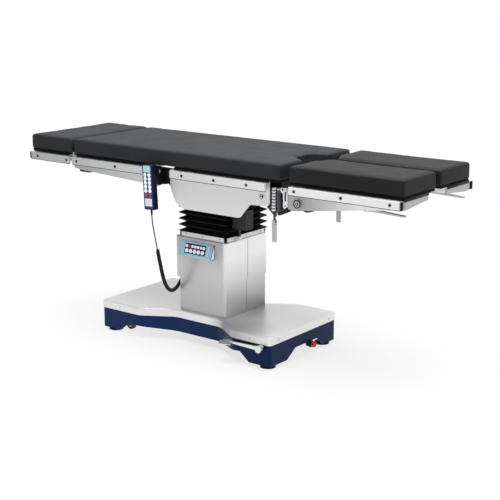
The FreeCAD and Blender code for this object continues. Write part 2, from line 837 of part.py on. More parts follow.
def back_frame():
    """Tapered side plates, three cross tubes, hinge arms with their pins and lugs for the head."""
    left = head_hinge_x + 8
    outline = [
        (left, frame_top), (left, head_hinge_z - 6), (left + 14, head_hinge_z - 14),
        (back_plate_end - 12, back_hinge_z - 60), (back_plate_end, back_hinge_z - 45), (back_plate_end, frame_top),
    ]
    plate = side_prism(outline, [0, 6.0, 6.0, 10.0, 10.0, 0], side_plate_inner, side_plate_outer)
    low = back_hinge_z - 18
    arm = join(
        box(-365, back_hinge_x, back_arm_inner, back_arm_outer, low, low + 36),
        rod_y(back_hinge_x, back_arm_inner, back_arm_outer, back_hinge_z, 18.0),
        rod_y(back_hinge_x, seat_lug_inner - 5 + 6, back_arm_outer, back_hinge_z, back_pin_radius),
        box(-365, -330, back_arm_inner, side_plate_inner + 1, low, low + 36),
    )
    lug = join(
        rod_y(head_hinge_x, head_lug_inner, head_lug_outer, head_hinge_z, head_lug_radius),
        box(head_hinge_x, left + 30, head_lug_inner, side_plate_inner + 1, head_hinge_z - 10, head_hinge_z + 12),
    )
    lug = lug.cut(box(head_hinge_x - 20, left, head_lug_outer, head_lug_outer + 50, head_hinge_z - 20, head_hinge_z + 20))
    parts = [plate, mirrored(plate), arm, mirrored(arm), lug, mirrored(lug)]
    half = side_plate_inner + 1
    for x0, x1 in ((-722.0, -690.0), (-530.0, -498.0), (-360.0, -328.0)):
        parts.append(box(x0, x1, -half, half, frame_bottom + 2, frame_top))
    frame = join(*parts)
    return frame.cut(rod_y(head_hinge_x, -300, 300, head_hinge_z, head_pin_radius + running_gap))


def head_frame():
    left = head_end + 8
    right = head_section_end - 3
    high = head_hinge_z + 32
    plate = box(left, right, side_plate_inner, side_plate_outer, frame_bottom, frame_top)
    arm = join(
        rod_y(head_hinge_x, head_lug_inner - 22, head_lug_inner - 2, head_hinge_z, head_lug_radius),
        side_prism(
            [(head_hinge_x, head_hinge_z - head_lug_radius), (head_hinge_x, head_hinge_z + head_lug_radius),
             (right - 2, high), (right - 40, high), (right - 40, high - 14)],
            0, head_lug_inner - 22, head_lug_inner - 2,
        ),
        rod_y(head_hinge_x, head_lug_inner - 21, head_lug_outer, head_hinge_z, head_pin_radius),
    )
    half = side_plate_inner + 1
    parts = [plate, mirrored(plate), arm, mirrored(arm)]
    for x0 in (left + 6, right - 44):
        parts.append(box(x0, x0 + 28, -half, half, frame_bottom, frame_top))
    return join(*parts)


def flat_board(x0, x1):
    half = half_pad - board_inset
    return plan_prism(rectangle(x0, x1, -half, half), 6.0, frame_top, pad_bottom)


# Legs, modelled on the near side

def leg_knuckle():
    """The swivel block: a shaft in the seat frame, a ringed barrel, a pivot column and a strut."""
    y = -leg_post_y
    shaft = rod_y(leg_pitch_x, y + 10, -leg_lug_inner - 2, leg_pitch_z, leg_shaft_radius)
    block = box(leg_pitch_x - 6, spread_x + 9, y + 2, -leg_lug_outer - 0.5, leg_pitch_z - 15, leg_pitch_z + 18)
    barrel = rod_z(leg_pitch_x, y, barrel_bottom, barrel_top, barrel_radius)
    for step in range(5):
        z = barrel_bottom + 14 + step * 17
        groove = rod_z(leg_pitch_x, y, z, z + 2, barrel_radius + 1)
        barrel = barrel.cut(groove.cut(rod_z(leg_pitch_x, y, z - 1, z + 3, barrel_radius - 1)))
    column = rod_z(spread_x, y, spread_bottom, spread_top, spread_radius)
    pin = rod_z(spread_x, y, spread_bottom - 9, spread_top + 11, spread_pin_radius)
    stem = rod_z(leg_pitch_x, y, catch_z - 6, barrel_bottom + 1, 5.0)
    strut = side_prism(
        [(leg_pitch_x + 6, leg_pitch_z - 88), (leg_pitch_x + 10, leg_pitch_z - 80),
         (leg_pitch_x - 27, leg_pitch_z - 43), (leg_pitch_x - 35, leg_pitch_z - 52)],
        0, y - 6, y + 1,
    )
    foot = box(leg_pitch_x - 3, leg_pitch_x + 10, y - 4, y + 4, leg_pitch_z - 88, leg_pitch_z - 70)
    strut = join(strut, foot)
    return join(block, shaft, barrel, column, pin, stem, strut).cut(catch_pin_bore())


def catch_pin_bore():
    return rod_y(leg_pitch_x, -leg_post_y - 20, -leg_post_y + 20, catch_z, 2.5 + running_gap)


def leg_catch():
    """The flat hanging handle on a cross pin below the barrel."""
    y = -leg_post_y
    ear = 5.0 + running_gap * 4
    blade = side_prism(
        [(leg_pitch_x - 11, catch_z - 12), (leg_pitch_x + 11, catch_z - 12),
         (leg_pitch_x + 12, catch_z - catch_length), (leg_pitch_x - 10, catch_z - catch_length)],
        [2, 2, 4, 4], y - 3, y + 3,
    )
    fork = box(leg_pitch_x - 7, leg_pitch_x + 7, y - ear - 3, y + ear + 3, catch_z - 16, catch_z + 5)
    fork = fork.cut(box(leg_pitch_x - 8, leg_pitch_x + 8, y - ear, y + ear, catch_z - 8, catch_z + 6))
    pin = rod_y(leg_pitch_x, y - ear - 3, y + ear + 3, catch_z, 2.5)
    return join(blade, fork, pin)


def leg_plan(inset, start):
    """The plan of one leg section, chamfered beside the notch of the seat."""
    inner = -leg_gap / 2 - inset
    outer = -half_pad + inset
    return [
        (start, outer), (leg_end - inset, outer), (leg_end - inset, inner),
        (leg_start + leg_chamfer_x, inner), (start, inner - leg_chamfer_y),
    ]


def leg_frame():
    """A folded pan on an angle bracket that hangs on the pivot column."""
    inner = -leg_frame_inner
    outer = -side_plate_outer
    points = [
        (leg_frame_start, outer), (leg_frame_end, outer), (leg_frame_end, inner),
        (leg_frame_start + 66, inner), (leg_frame_start, inner - 44),
    ]
    small = [
        (leg_frame_start + sheet, outer + sheet), (leg_frame_end - sheet, outer + sheet),
        (leg_frame_end - sheet, inner - sheet), (leg_frame_start + 67, inner - sheet),
        (leg_frame_start + sheet, inner - 47),
    ]
    pan = plan_prism(points, 4.0, leg_frame_bottom, frame_top)
    pan = pan.cut(plan_prism(small, 1.5, leg_frame_bottom - 1, frame_top + 1))
    apron = side_prism(
        [(leg_frame_start + 4, frame_top - 4), (leg_frame_end - 4, frame_top - 4), (leg_frame_end - 4, leg_frame_bottom + 1),
         (leg_frame_end - 70, leg_frame_bottom - 8), (leg_frame_start + 8, leg_plate_low), (leg_frame_start, leg_plate_low + 10),
         (leg_frame_start, leg_frame_bottom + 4)],
        [0, 0, 0, 10, 6, 6, 0], outer, outer + sheet,
    )
    ties = []
    for x in (release_x - 121, release_x - 11):
        ties.append(box(x, x + 28, outer + 1, inner - 1, leg_frame_bottom + 8, frame_top - 2))
    wedge = end_prism(
        [(outer, leg_frame_bottom - 1), (inner + 14, leg_frame_bottom - 1), (inner + 14, leg_frame_bottom + 16)],
        0, leg_frame_start + 80, leg_frame_end + 1,
    )
    knob = rod_y(leg_rail_start + 28, outer - 7, outer + 1, leg_pitch_z - 18, 17.0)
    y = -leg_post_y
    left = spread_x + 12
    right = leg_frame_start + 8
    z = leg_pitch_z
    angle = side_prism(
        [(left, z + 37), (right, z + 37), (right, z - 48), (right - 14, z - 54), (right - 34, z - 54),
         (right - 38, z + 10), (left, z + 18)],
        [4, 0, 0, 6, 6, 8, 4], y - 10, y - 6,
    )
    angle = angle.cut(rod_y(left + 13, y - 20, y, z + 29, 3.5))
    angle = angle.cut(box(left + 28, left + 33, y - 20, y, z - 16, z + 25))
    upper = join(
        rod_z(spread_x, y, spread_top + 2, spread_top + 10, spread_radius),
        box(spread_x, leg_frame_start + 2, y - 10, y + 12, spread_top + 2, spread_top + 10),
    )
    low = spread_bottom
    lower = join(
        rod_z(spread_x, y, spread_bottom - 9, spread_bottom - 1, spread_radius),
        side_prism(
            [(spread_x, low - 9), (spread_x + 11, low - 9), (spread_x + 57, low + 13), (spread_x + 57, low + 23),
             (spread_x + 39, low + 23), (spread_x + 13, low - 1), (spread_x, low - 1)],
            0, y - 10, y + 10,
        ),
        box(leg_frame_start - 10, leg_frame_start + 4, y - 13, y - 6, z - 48, z + 30),
    )
    ears = []
    reach = release_half_width + 2
    for e in (-release_y - reach - 4, -release_y + reach):
        ears.append(box(release_x - 9, release_x + 9, e, e + 4, release_z - 8, leg_frame_bottom + 12))
    frame = join(pan, *ties).cut(wedge)
    frame = join(frame, apron, knob, angle, upper, lower, *ears)
    frame = frame.cut(rod_z(spread_x, y, z - 160, z + 90, spread_pin_radius + running_gap))
    return frame.cut(rod_y(release_x, -release_y - 30, -release_y + 30, release_z, 4 + running_gap))


def leg_release():
    """The flat squeeze lever near the foot end that frees the leg section."""
    blade = side_prism(
        [(release_x - 6, release_z + 6), (release_x + 30, release_z + 4),
         (release_x + release_length, release_z - 4), (release_x + release_length, release_z - 9),
         (release_x + 26, release_z - 5), (release_x - 6, release_z - 6)],
        [0, 0, 2, 2, 0, 0], -release_y - release_half_width, -release_y + release_half_width,
    )
    reach = release_half_width + 1
    hub = rod_y(release_x, -release_y - reach, -release_y + reach, release_z, 7.5)
    pin = rod_y(release_x, -release_y - reach - 5, -release_y + reach + 5, release_z, 4.0)
    return join(blade, hub, pin)


def leg_rail():
    solids = rail(leg_rail_start, leg_rail_end, (leg_rail_start + 28, leg_rail_start + 250, leg_rail_end - 45), caps=(leg_rail_end,))
    return Part.makeCompound([mirrored(s) for s in solids])


def leg_board():
    return plan_prism(leg_plan(board_inset, leg_start + board_inset), 6.0, frame_top, pad_bottom)


def leg_pad():
    radii = [pad_corner_radius, pad_corner_radius, pad_corner_radius, 24.0, 24.0]
    return soft_block(leg_plan(0, leg_start), radii, pad_bottom, pad_top)


# Handset and cord

def handset():
    """The key box, leaning a little, with a hook over the rail and a strain relief below."""
    x0 = handset_x - handset_width / 2
    low = handset_top - handset_height
    front = -handset_back - handset_depth
    body = box(x0, x0 + handset_width, front, -handset_back, low, handset_top)
    body = body.makeFillet(5.0, body.Edges)
    rail_top = rail_middle_height + rail_height / 2
    hook = join(
        box(handset_x - 16, handset_x + 4, -handset_back - 2, -rail_inner + 4, rail_top + 1, rail_top + 4),
        box(handset_x - 16, handset_x + 4, -rail_inner + 1, -rail_inner + 4, rail_top - 12, rail_top + 4),
    )
    relief = Part.makeCone(5.0, lead_radius + 1.2, 26.0, Vector(handset_x, front + 15, low + 1), Vector(0, 0, -1))
    body = join(body, relief)
    turn_at = Vector(handset_x, 0, handset_top)
    body.rotate(turn_at, Vector(0, 1, 0), -handset_lean)
    return join(body, hook)


def route_path(points):
    """Straight runs joined by tangent arcs, each arc as large as its two runs allow."""
    edges = []
    radii = []
    start = points[0]
    for i in range(1, len(points) - 1):
        before = points[i] - points[i - 1]
        after = points[i + 1] - points[i]
        turn = before.getAngle(after)
        reach = 0.45 * min(before.Length, after.Length)
        radii.append(reach / math.tan(turn / 2))
        back = Vector(before).normalize()
        ahead = Vector(after).normalize()
        first = points[i] - back * reach
        last = points[i] + ahead * reach
        bisector = (ahead - back).normalize()
        centre = points[i] + bisector * (radii[-1] / math.cos(turn / 2))
        middle = centre - bisector * radii[-1]
        edges.append(Part.LineSegment(start, first).toShape())
        edges.append(Part.Arc(first, middle, last).toShape())
        start = last
    edges.append(Part.LineSegment(start, points[-1]).toShape())
    return Part.Wire(edges), radii


def tube(name, points, radius):
    path, radii = route_path(points)
    ahead = points[1] - points[0]
    ring = Part.Wire(Part.makeCircle(radius, points[0], ahead))
    solid = path.makePipeShell([ring], True, False)
    ratio = solid.Volume / (math.pi * radius * radius * path.Length)
    print(name, "length", round(path.Length, 1), "volume ratio", round(ratio, 4))
    print(name, "radii", [round(r) for r in radii])
    return solid


def exit_vector(length):
    """A run of the given length along the leaning handset, downward."""
    lean = math.radians(handset_lean)
    return Vector(length * math.sin(lean), 0, -length * math.cos(lean))


def cord_height(share):
    """A height between the lowest point of the cord's loop and the top of the handset."""
    return cord_low + share * (handset_top - cord_low)


def cord_points(places):
    return [Vector(x, y, cord_height(share)) for x, y, share in places]


handset_exit = Vector(handset_x, -handset_back - handset_depth + 15, handset_top) + exit_vector(handset_height + 25)
socket_z = (frame_bottom + frame_top) / 2

lead_points = [handset_exit, handset_exit + exit_vector(36)] + cord_points([
    (-206, -303, 0.479), (-202, -300, 0.421), (-200, -294, 0.3702),
])
curl_points = cord_points([
    (-200, -294, 0.3694), (-198, -288, 0.309), (-198, -277, 0.239), (-202, -262, 0.167), (-210, -240, 0.097),
    (-218, -212, 0.037), (-226, -176, 0.0), (-232, -138, 0.002), (-236, -104, 0.038), (-238, -76, 0.095),
    (-239, -54, 0.162), (-239, -37, 0.234), (-239, -24, 0.309),
])
tail_points = cord_points([
    (-239, -24, 0.3098), (-239, -17, 0.369), (-239, -11, 0.434), (-239, -7, 0.512), (-239, -4, 0.596),
    (-238, -2, 0.679), (-236, -1, 0.753), (-233, 0, 0.82), (-225, 0, 0.883), (-208, 0, 0.93),
]) + [Vector(-187, 0, socket_z), Vector(seat_frame_left - 16, 0, socket_z)]


def build():
    os.makedirs("parts", exist_ok=True)
    save("base_chassis", base_chassis())
    save("base_skirt", base_skirt())
    save("base_cover", base_cover())
    save("lower_casing", lower_casing())
    save("column_pillar", Part.makeCompound([column_pillar(), lift_cylinder()]))
    save("floor_pads", floor_pads())
    save("brake_pedal", brake_pedal())
    save("stop_button", stop_button())
    for name, x, y in castor_places():
        save("castor_fork_" + name, castor_fork(x, y))
        save("castor_wheel_" + name, castor_wheel(x, y))
    save("middle_shroud", middle_shroud())
    save("mast", mast())
    save("lift_head", lift_head())
    save("upper_sleeve", upper_sleeve())
    save("collar_strips", collar_strips())
    save("lift_ram", lift_ram())
    save("control_panel", control_panel())
    save("actuator_housing", actuator_housing())
    save("bellows", bellows())
    save("tilt_cross", tilt_cross())
    save("seat_frame", join(seat_frame(), cord_socket()))
    save("seat_side_plates", seat_side_plates())
    save("seat_rails", rails(seat_rail_start, seat_rail_end, (seat_rail_start + 68, 115.0, seat_rail_end - 95)))
    save("seat_board", seat_board())
    save("seat_pad", seat_pad())
    save("hinge_gearboxes", hinge_gearboxes())
    save("pad_fold", pad_fold())
    save("back_frame", back_frame())
    save("back_rails", rails(back_rail_start, back_rail_end, (back_rail_start + 30, -455.0, back_rail_end - 10)))
    save("back_board", flat_board(back_section_start + 12, back_hinge_x - pad_fold_half - 4))
    save("back_pad", soft_end_block(back_section_start, back_hinge_x - pad_fold_half, True, False))
    save("head_frame", head_frame())
    head_places = (head_rail_start + 44, head_rail_end - 18)
    save("head_rails", rails(head_rail_start, head_rail_end, head_places, caps=(head_rail_start,)))
    save("head_board", flat_board(head_end + board_inset, head_section_end - 16))
    save("head_pad", soft_end_block(head_end, head_section_end - head_soft_end, True, False))
    save("head_pad_end", soft_end_block(head_section_end - head_soft_end + free_gap, head_section_end, False, True))
    leg_pieces = {
        "knuckle": leg_knuckle, "catch": leg_catch, "frame": leg_frame, "rail": leg_rail,
        "board": leg_board, "pad": leg_pad, "release": leg_release,
    }
    for name, make in leg_pieces.items():
        piece = make()
        save("near_leg_" + name, piece)
        save("far_leg_" + name, mirrored(piece))
    save("handset", handset())
    save("cord_lead", tube("cord_lead", lead_points, lead_radius))
    save("cord_curl", tube("cord_curl", curl_points, curl_radius))
    save("cord_tail", tube("cord_tail", tail_points, lead_radius))


build()
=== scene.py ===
import math

import bmesh
import bpy
from mathutils import Matrix, Vector


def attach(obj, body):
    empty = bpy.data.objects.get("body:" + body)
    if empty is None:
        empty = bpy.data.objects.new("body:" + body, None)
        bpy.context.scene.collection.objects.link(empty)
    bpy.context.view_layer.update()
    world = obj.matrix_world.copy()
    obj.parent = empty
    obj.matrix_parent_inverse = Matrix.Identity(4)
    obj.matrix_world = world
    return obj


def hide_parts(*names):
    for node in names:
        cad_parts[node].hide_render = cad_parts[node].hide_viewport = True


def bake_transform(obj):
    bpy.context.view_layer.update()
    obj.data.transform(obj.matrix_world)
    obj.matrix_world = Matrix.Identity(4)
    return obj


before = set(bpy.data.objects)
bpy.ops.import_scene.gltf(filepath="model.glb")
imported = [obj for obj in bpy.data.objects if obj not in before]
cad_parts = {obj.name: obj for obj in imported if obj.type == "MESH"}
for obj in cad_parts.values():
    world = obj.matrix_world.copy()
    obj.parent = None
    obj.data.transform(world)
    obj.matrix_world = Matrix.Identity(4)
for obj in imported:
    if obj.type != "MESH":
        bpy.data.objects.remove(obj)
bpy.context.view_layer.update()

# Camera, at the photograph's viewing angle

MM = 0.001
LENS = 83.8
CAMERA_AT = Vector((3.1686, -4.0058, 1.6689))
LOOKS_AT = Vector((0.090, 0.0, 0.4372))


def set_camera():
    data = bpy.data.cameras.new("camera")
    data.lens = LENS
    data.sensor_width = 36.0
    data.clip_end = 60.0
    camera = bpy.data.objects.new("camera", data)
    camera.location = CAMERA_AT
    camera.rotation_mode = "QUATERNION"
    camera.rotation_quaternion = (LOOKS_AT - CAMERA_AT).to_track_quat("-Z", "Y")
    bpy.context.collection.objects.link(camera)
    bpy.context.scene.camera = camera


set_camera()

# Finishes

WHITE = (1.0, 1.0, 1.0, 1.0)


class Signal:
    """A node's output. Arithmetic on it adds Math nodes."""

    def __init__(self, wiring, socket):
        self.wiring = wiring
        self.socket = socket

    def combine(self, operation, first, second):
        inputs = {0: first, 1: second}
        return self.wiring.node("ShaderNodeMath", {"operation": operation}, inputs)

    def __add__(self, other):
        return self.combine("ADD", self, other)

    def __sub__(self, other):
        return self.combine("SUBTRACT", self, other)

    def __rsub__(self, other):
        return self.combine("SUBTRACT", other, self)

    def __mul__(self, other):
        return self.combine("MULTIPLY", self, other)

    __radd__ = __add__
    __rmul__ = __mul__


class Wiring:
    """Adds nodes to one node tree."""

    def __init__(self, tree):
        self.tree = tree

    def feed(self, target, value):
        if isinstance(value, Signal):
            self.tree.links.new(value.socket, target)
        else:
            target.default_value = value

    def node(self, kind, settings, inputs, output=0):
        """Makes a node, gives it its settings and then its inputs, and returns one of its outputs."""
        made = self.tree.nodes.new(kind)
        for name, value in settings.items():
            if name == "stops":
                ramp = made.color_ramp.elements
                for stop, (place, shade) in zip(ramp, value):
                    stop.position = place
                    stop.color = (shade, shade, shade, 1.0)
            else:
                setattr(made, name, value)
        for socket, value in inputs.items():
            self.feed(made.inputs[socket], value)
        return Signal(self, made.outputs[output])

    def steps(self, signal, first, last):
        """Runs from 0 to 1 while the signal runs from first to last."""
        stops = [(first, 0.0), (last, 1.0)]
        return self.node("ShaderNodeValToRGB", {"stops": stops}, {0: signal})


class Finish(Wiring):
    """One material, built from a colour and what varies over it."""

    def __init__(self, name, color, roughness, metallic=0.0):
        self.material = bpy.data.materials.new(name)
        self.material.use_nodes = True
        super().__init__(self.material.node_tree)
        self.shader = self.tree.nodes["Principled BSDF"]
        self.material.diffuse_color = (*color, 1.0)
        self.set("Base Color", (*color, 1.0))
        self.set("Roughness", roughness)
        self.set("Metallic", metallic)

    def set(self, socket, value):
        self.feed(self.shader.inputs[socket], value)

    def place(self, stretch=(1, 1, 1)):
        spot = self.node("ShaderNodeTexCoord", {}, {}, "Object")
        return self.node("ShaderNodeMapping", {}, {"Vector": spot, "Scale": stretch})

    def axis(self, name):
        spot = self.node("ShaderNodeTexCoord", {}, {}, "Object")
        return self.node("ShaderNodeSeparateXYZ", {}, {0: spot}, name)

    def noise(self, scale, detail=2.0, stretch=(1, 1, 1)):
        inputs = {"Vector": self.place(stretch), "Scale": scale, "Detail": detail}
        return self.node("ShaderNodeTexNoise", {}, inputs)

    def cells(self, scale):
        inputs = {"Vector": self.place(), "Scale": scale}
        return self.node("ShaderNodeTexVoronoi", {"feature": "F1"}, inputs)

    def share(self, axis, first, last):
        """Runs from 0 to 1 between two places along an axis, in metres."""
        return self.steps((self.axis(axis) - first) * (1.0 / (last - first)), 0.0, 1.0)

    def edges(self):
        """Is 1 on edges that stick out and get rubbed, and 0 on flat ground."""
        worn = self.node("ShaderNodeNewGeometry", {}, {}, "Pointiness")
        return self.steps(worn, 0.51, 0.60)

    def blend(self, factor, first, second):
        """Mixes two colours, each of them three numbers or a signal."""
        inputs = {0: factor}
        for socket, color in ((6, first), (7, second)):
            inputs[socket] = color if isinstance(color, Signal) else (*color, 1.0)
        return self.node("ShaderNodeMix", {"data_type": "RGBA"}, inputs, 2)

    def bump(self, height, strength, distance):
        inputs = {"Height": height, "Strength": strength, "Distance": distance}
        self.set("Normal", self.node("ShaderNodeBump", {}, inputs))
        return self


def shade(color, amount):
    return tuple(min(1.0, c * amount) for c in color)


def steel_grey(level):
    """A grey with the faintest blue in it."""
    return (level, level, level + 0.005)


def cushion_cover():
    """Matte conductive cover: fine pebble grain, faint scuffs, a little dust on top, and painted shade that
    darkens it towards the leg end.
    """
    dark = (0.020, 0.021, 0.0235)
    finish = Finish("cushion_cover", dark, 0.62)
    finish.set("Specular IOR Level", 0.22)
    cloud = finish.noise(5.0, 4.0)
    grain = finish.cells(900.0)
    fine = finish.noise(260.0, 3.0)
    base = finish.blend(cloud, shade(dark, 0.86), shade(dark, 1.22))
    # Painted shade: towards the leg end the cover's colour is darker.
    painted_leg_shade = finish.blend(cloud, shade(dark, 0.36), shade(dark, 0.54))
    finish.set("Base Color", finish.blend(finish.share("X", 0.42, 0.56), base, painted_leg_shade))
    finish.set("Roughness", finish.noise(14.0, 3.0) * 0.16 + 0.50)
    return finish.bump(grain * 0.6 + fine * 0.5, 0.16, 0.0006)


# X range of the faces at the leg end, which keep a darker colour there as painted shade.
LEG_END_FACE = (1.008, 1.014)


def brushed_steel(name, color, roughness, stretch, metallic, painted_light, reach):
    """Brushed sheet with long thin scratches and faint marks.

    Its colour turns to a painted highlight colour along reach, and the faces at the leg end stay darker as
    painted shade.
    """
    finish = Finish(name, color, roughness, metallic)
    lines = finish.noise(34.0, 5.0, stretch)
    marks = finish.noise(6.0, 4.0)
    base = finish.blend(lines, shade(color, 0.90), shade(color, 1.06))
    # Painted highlight: the colour grows lighter along reach.
    bright = finish.blend(lines, shade(painted_light, 0.92), painted_light)
    base = finish.blend(finish.share("X", *reach), base, bright)
    # Painted shade: the faces at the leg end go back to the darker colour.
    base = finish.blend(finish.share("X", *LEG_END_FACE), base, shade(color, 1.05))
    finish.set("Base Color", base)
    finish.set("Roughness", lines * 0.16 + marks * 0.10 + (roughness - 0.13))
    return finish.bump(lines, 0.05, 0.0004)


def column_sheet():
    """Brushed sheet with painted light and shade: its leg-end face runs from near white at the top to dark at
    its foot, and its front is lighter at mid height.
    """
    finish = Finish("brushed_column", (0.5, 0.5, 0.51), 0.34, 0.75)
    lines = finish.noise(34.0, 5.0, (22, 22, 0.5))
    # Painted light: the front face is lighter at mid height.
    painted_light_band = finish.blend(finish.share("Z", 0.15, 0.33), steel_grey(0.42), steel_grey(0.60))
    front = finish.blend(finish.share("Z", 0.36, 0.48), painted_light_band, steel_grey(0.42))
    # Painted shade: the leg-end face is dark at its foot and darker towards the far side; higher up it is
    # near white as painted light.
    foot = finish.blend(finish.share("Y", -0.14, 0.14), steel_grey(0.44), steel_grey(0.20))
    leg_end = finish.blend(finish.share("Z", 0.15, 0.42), foot, (0.97, 0.97, 0.97))
    base = finish.blend(finish.share("X", 0.050, 0.066), front, leg_end)
    finish.set("Base Color", finish.blend(lines * 0.25, base, (0.55, 0.55, 0.56)))
    finish.set("Roughness", lines * 0.16 + 0.24)
    return finish.bump(lines, 0.05, 0.0004)


def lid_sheet():
    """Satin brushed sheet with a soft dark patch beside the column, which stands for its reflection."""
    finish = Finish("satin_lid", steel_grey(0.86), 0.34, 0.6)
    lines = finish.noise(34.0, 5.0, (0.5, 20, 20))
    marks = finish.noise(6.0, 4.0)
    base = finish.blend(lines, steel_grey(0.78), steel_grey(0.92))
    along = finish.share("X", -0.02, 0.06) - finish.share("X", 0.20, 0.36)
    mirrored = along - along * finish.share("Y", -0.20, -0.06)
    finish.set("Base Color", finish.blend(mirrored * 0.62, base, steel_grey(0.22)))
    finish.set("Roughness", lines * 0.16 + marks * 0.10 + 0.22)
    return finish.bump(lines, 0.04, 0.0004)


def polished(name, color, roughness):
    """Polished or plated steel with fine smears."""
    finish = Finish(name, color, roughness, 1.0)
    smear = finish.noise(22.0, 4.0)
    finish.set("Roughness", smear * 0.14 + (roughness - 0.05))
    finish.set("Base Color", finish.blend(smear, shade(color, 0.92), shade(color, 1.04)))
    return finish.bump(finish.noise(160.0), 0.02, 0.0003)


def enamel(name, color, roughness):
    """Sprayed enamel with slight orange peel and rubbed edges."""
    finish = Finish(name, color, roughness)
    finish.set("Coat Weight", 0.15)
    cloud = finish.noise(11.0, 3.0)
    base = finish.blend(cloud, shade(color, 0.90), shade(color, 1.12))
    finish.set("Base Color", finish.blend(finish.edges() * 0.35, base, shade(color, 1.9)))
    finish.set("Roughness", cloud * 0.12 + (roughness - 0.06))
    return finish.bump(finish.noise(420.0, 2.0), 0.06, 0.0004)


def moulding(name, color, roughness, grain=900.0, painted_shade_color=None, reach=None):
    """Moulded plastic with a fine spark texture and paler worn edges.

    Where a painted shade colour is given, the colour turns to it along reach.
    """
    finish = Finish(name, color, roughness)
    cloud = finish.noise(7.0, 3.0)
    base = finish.blend(cloud, shade(color, 0.88), shade(color, 1.14))
    # Painted shade: the colour darkens along reach.
    if painted_shade_color:
        base = finish.blend(finish.share("X", *reach), base, painted_shade_color)
    finish.set("Base Color", finish.blend(finish.edges() * 0.4, base, shade(color, 1.8)))
    finish.set("Roughness", cloud * 0.14 + (roughness - 0.07))
    return finish.bump(finish.noise(grain, 2.0), 0.10, 0.0004)


def rubber(name, color, roughness):
    """Rubber with a dusty bloom on it."""
    finish = Finish(name, color, roughness)
    dust = finish.noise(28.0, 5.0)
    finish.set("Base Color", finish.blend(dust, shade(color, 0.8), shade(color, 1.35)))
    finish.set("Roughness", dust * 0.2 + (roughness - 0.1))
    return finish.bump(finish.noise(700.0, 2.0), 0.12, 0.0004)


cover_finish = cushion_cover()
# In each brushed_steel call the last two arguments are the painted highlight colour and the X range along
# which it takes over.
plate_finish = brushed_steel(
    "brushed_plate", (0.50, 0.505, 0.51), 0.36, (0.6, 24, 24), 0.7, (0.82, 0.82, 0.83), (-0.70, -0.16),
)
leg_plate_finish = brushed_steel(
    "brushed_leg_plate", (0.46, 0.462, 0.47), 0.36, (0.6, 24, 24), 0.5, (1.0, 1.0, 1.0), (0.56, 0.82),
)
rail_finish = brushed_steel(
    "brushed_rail", (0.50, 0.505, 0.51), 0.30, (0.5, 30, 30), 0.40, (1.0, 1.0, 1.0), (-1.05, 0.62),
)
column_finish = column_sheet()
lid_finish = lid_sheet()
bright_finish = polished("plated_steel", (0.74, 0.75, 0.77), 0.18)
dull_bright_finish = polished("dull_steel", (0.50, 0.51, 0.53), 0.34)
steel_finish = enamel("chassis_enamel", (0.11, 0.11, 0.115), 0.5)
# Dark enamel; on the castor forks and the strips under the rails its darkness is painted shade.
shaded_finish = enamel("dark_enamel_and_shade", (0.035, 0.035, 0.038), 0.4)
# Black moulding for black parts; the shadow strips, dark slots and screw recesses take it as painted shade.
black_finish = moulding("black_moulding", (0.005, 0.005, 0.006), 0.42)
board_finish = moulding("board_laminate", (0.003, 0.003, 0.0035), 0.6)
housing_finish = moulding("housing_moulding", (0.012, 0.012, 0.014), 0.45)
# The navy skirt darkens towards the leg end: painted shade.
navy_finish = moulding(
    "navy_moulding", (0.005, 0.021, 0.080), 0.30, 500.0, (0.0008, 0.003, 0.016), (-0.35, 0.36),
)
field_finish = moulding("blue_field", (0.006, 0.030, 0.15), 0.35)
handset_finish = moulding("handset_moulding", (0.004, 0.007, 0.020), 0.36)
bellows_finish = rubber("bellows_rubber", (0.005, 0.005, 0.006), 0.5)
cord_finish = rubber("cord_jacket", (0.008, 0.008, 0.009), 0.45)
tyre_finish = rubber("tyre_rubber", (0.035, 0.035, 0.037), 0.6)
red_finish = moulding("red_button", (0.52, 0.012, 0.012), 0.22, 200.0)
sky_finish = moulding("pale_blue_panel", (0.34, 0.56, 0.78), 0.4)
key_finish = moulding("white_keys", (0.86, 0.93, 0.97), 0.4)
# The white keys and the panel's white end glow faintly: painted light, as there is no lamp in them.
key_finish.set("Emission Color", (0.80, 0.93, 1.0, 1.0))
key_finish.set("Emission Strength", 0.22)
red_key_finish = moulding("red_key", (0.55, 0.03, 0.03), 0.4)
label_finish = moulding("pale_label", (0.80, 0.86, 0.95), 0.5)
screen_finish = moulding("pale_screen", (0.40, 0.58, 0.74), 0.2)
for finish, glint in (
    (black_finish, 0.2), (board_finish, 0.08), (housing_finish, 0.3), (navy_finish, 0.10),
    (handset_finish, 0.2), (bellows_finish, 0.2), (cord_finish, 0.3),
):
    finish.set("Specular IOR Level", glint)

SIDES = {"near": -1, "far": 1}
ENDS = ("head", "leg")

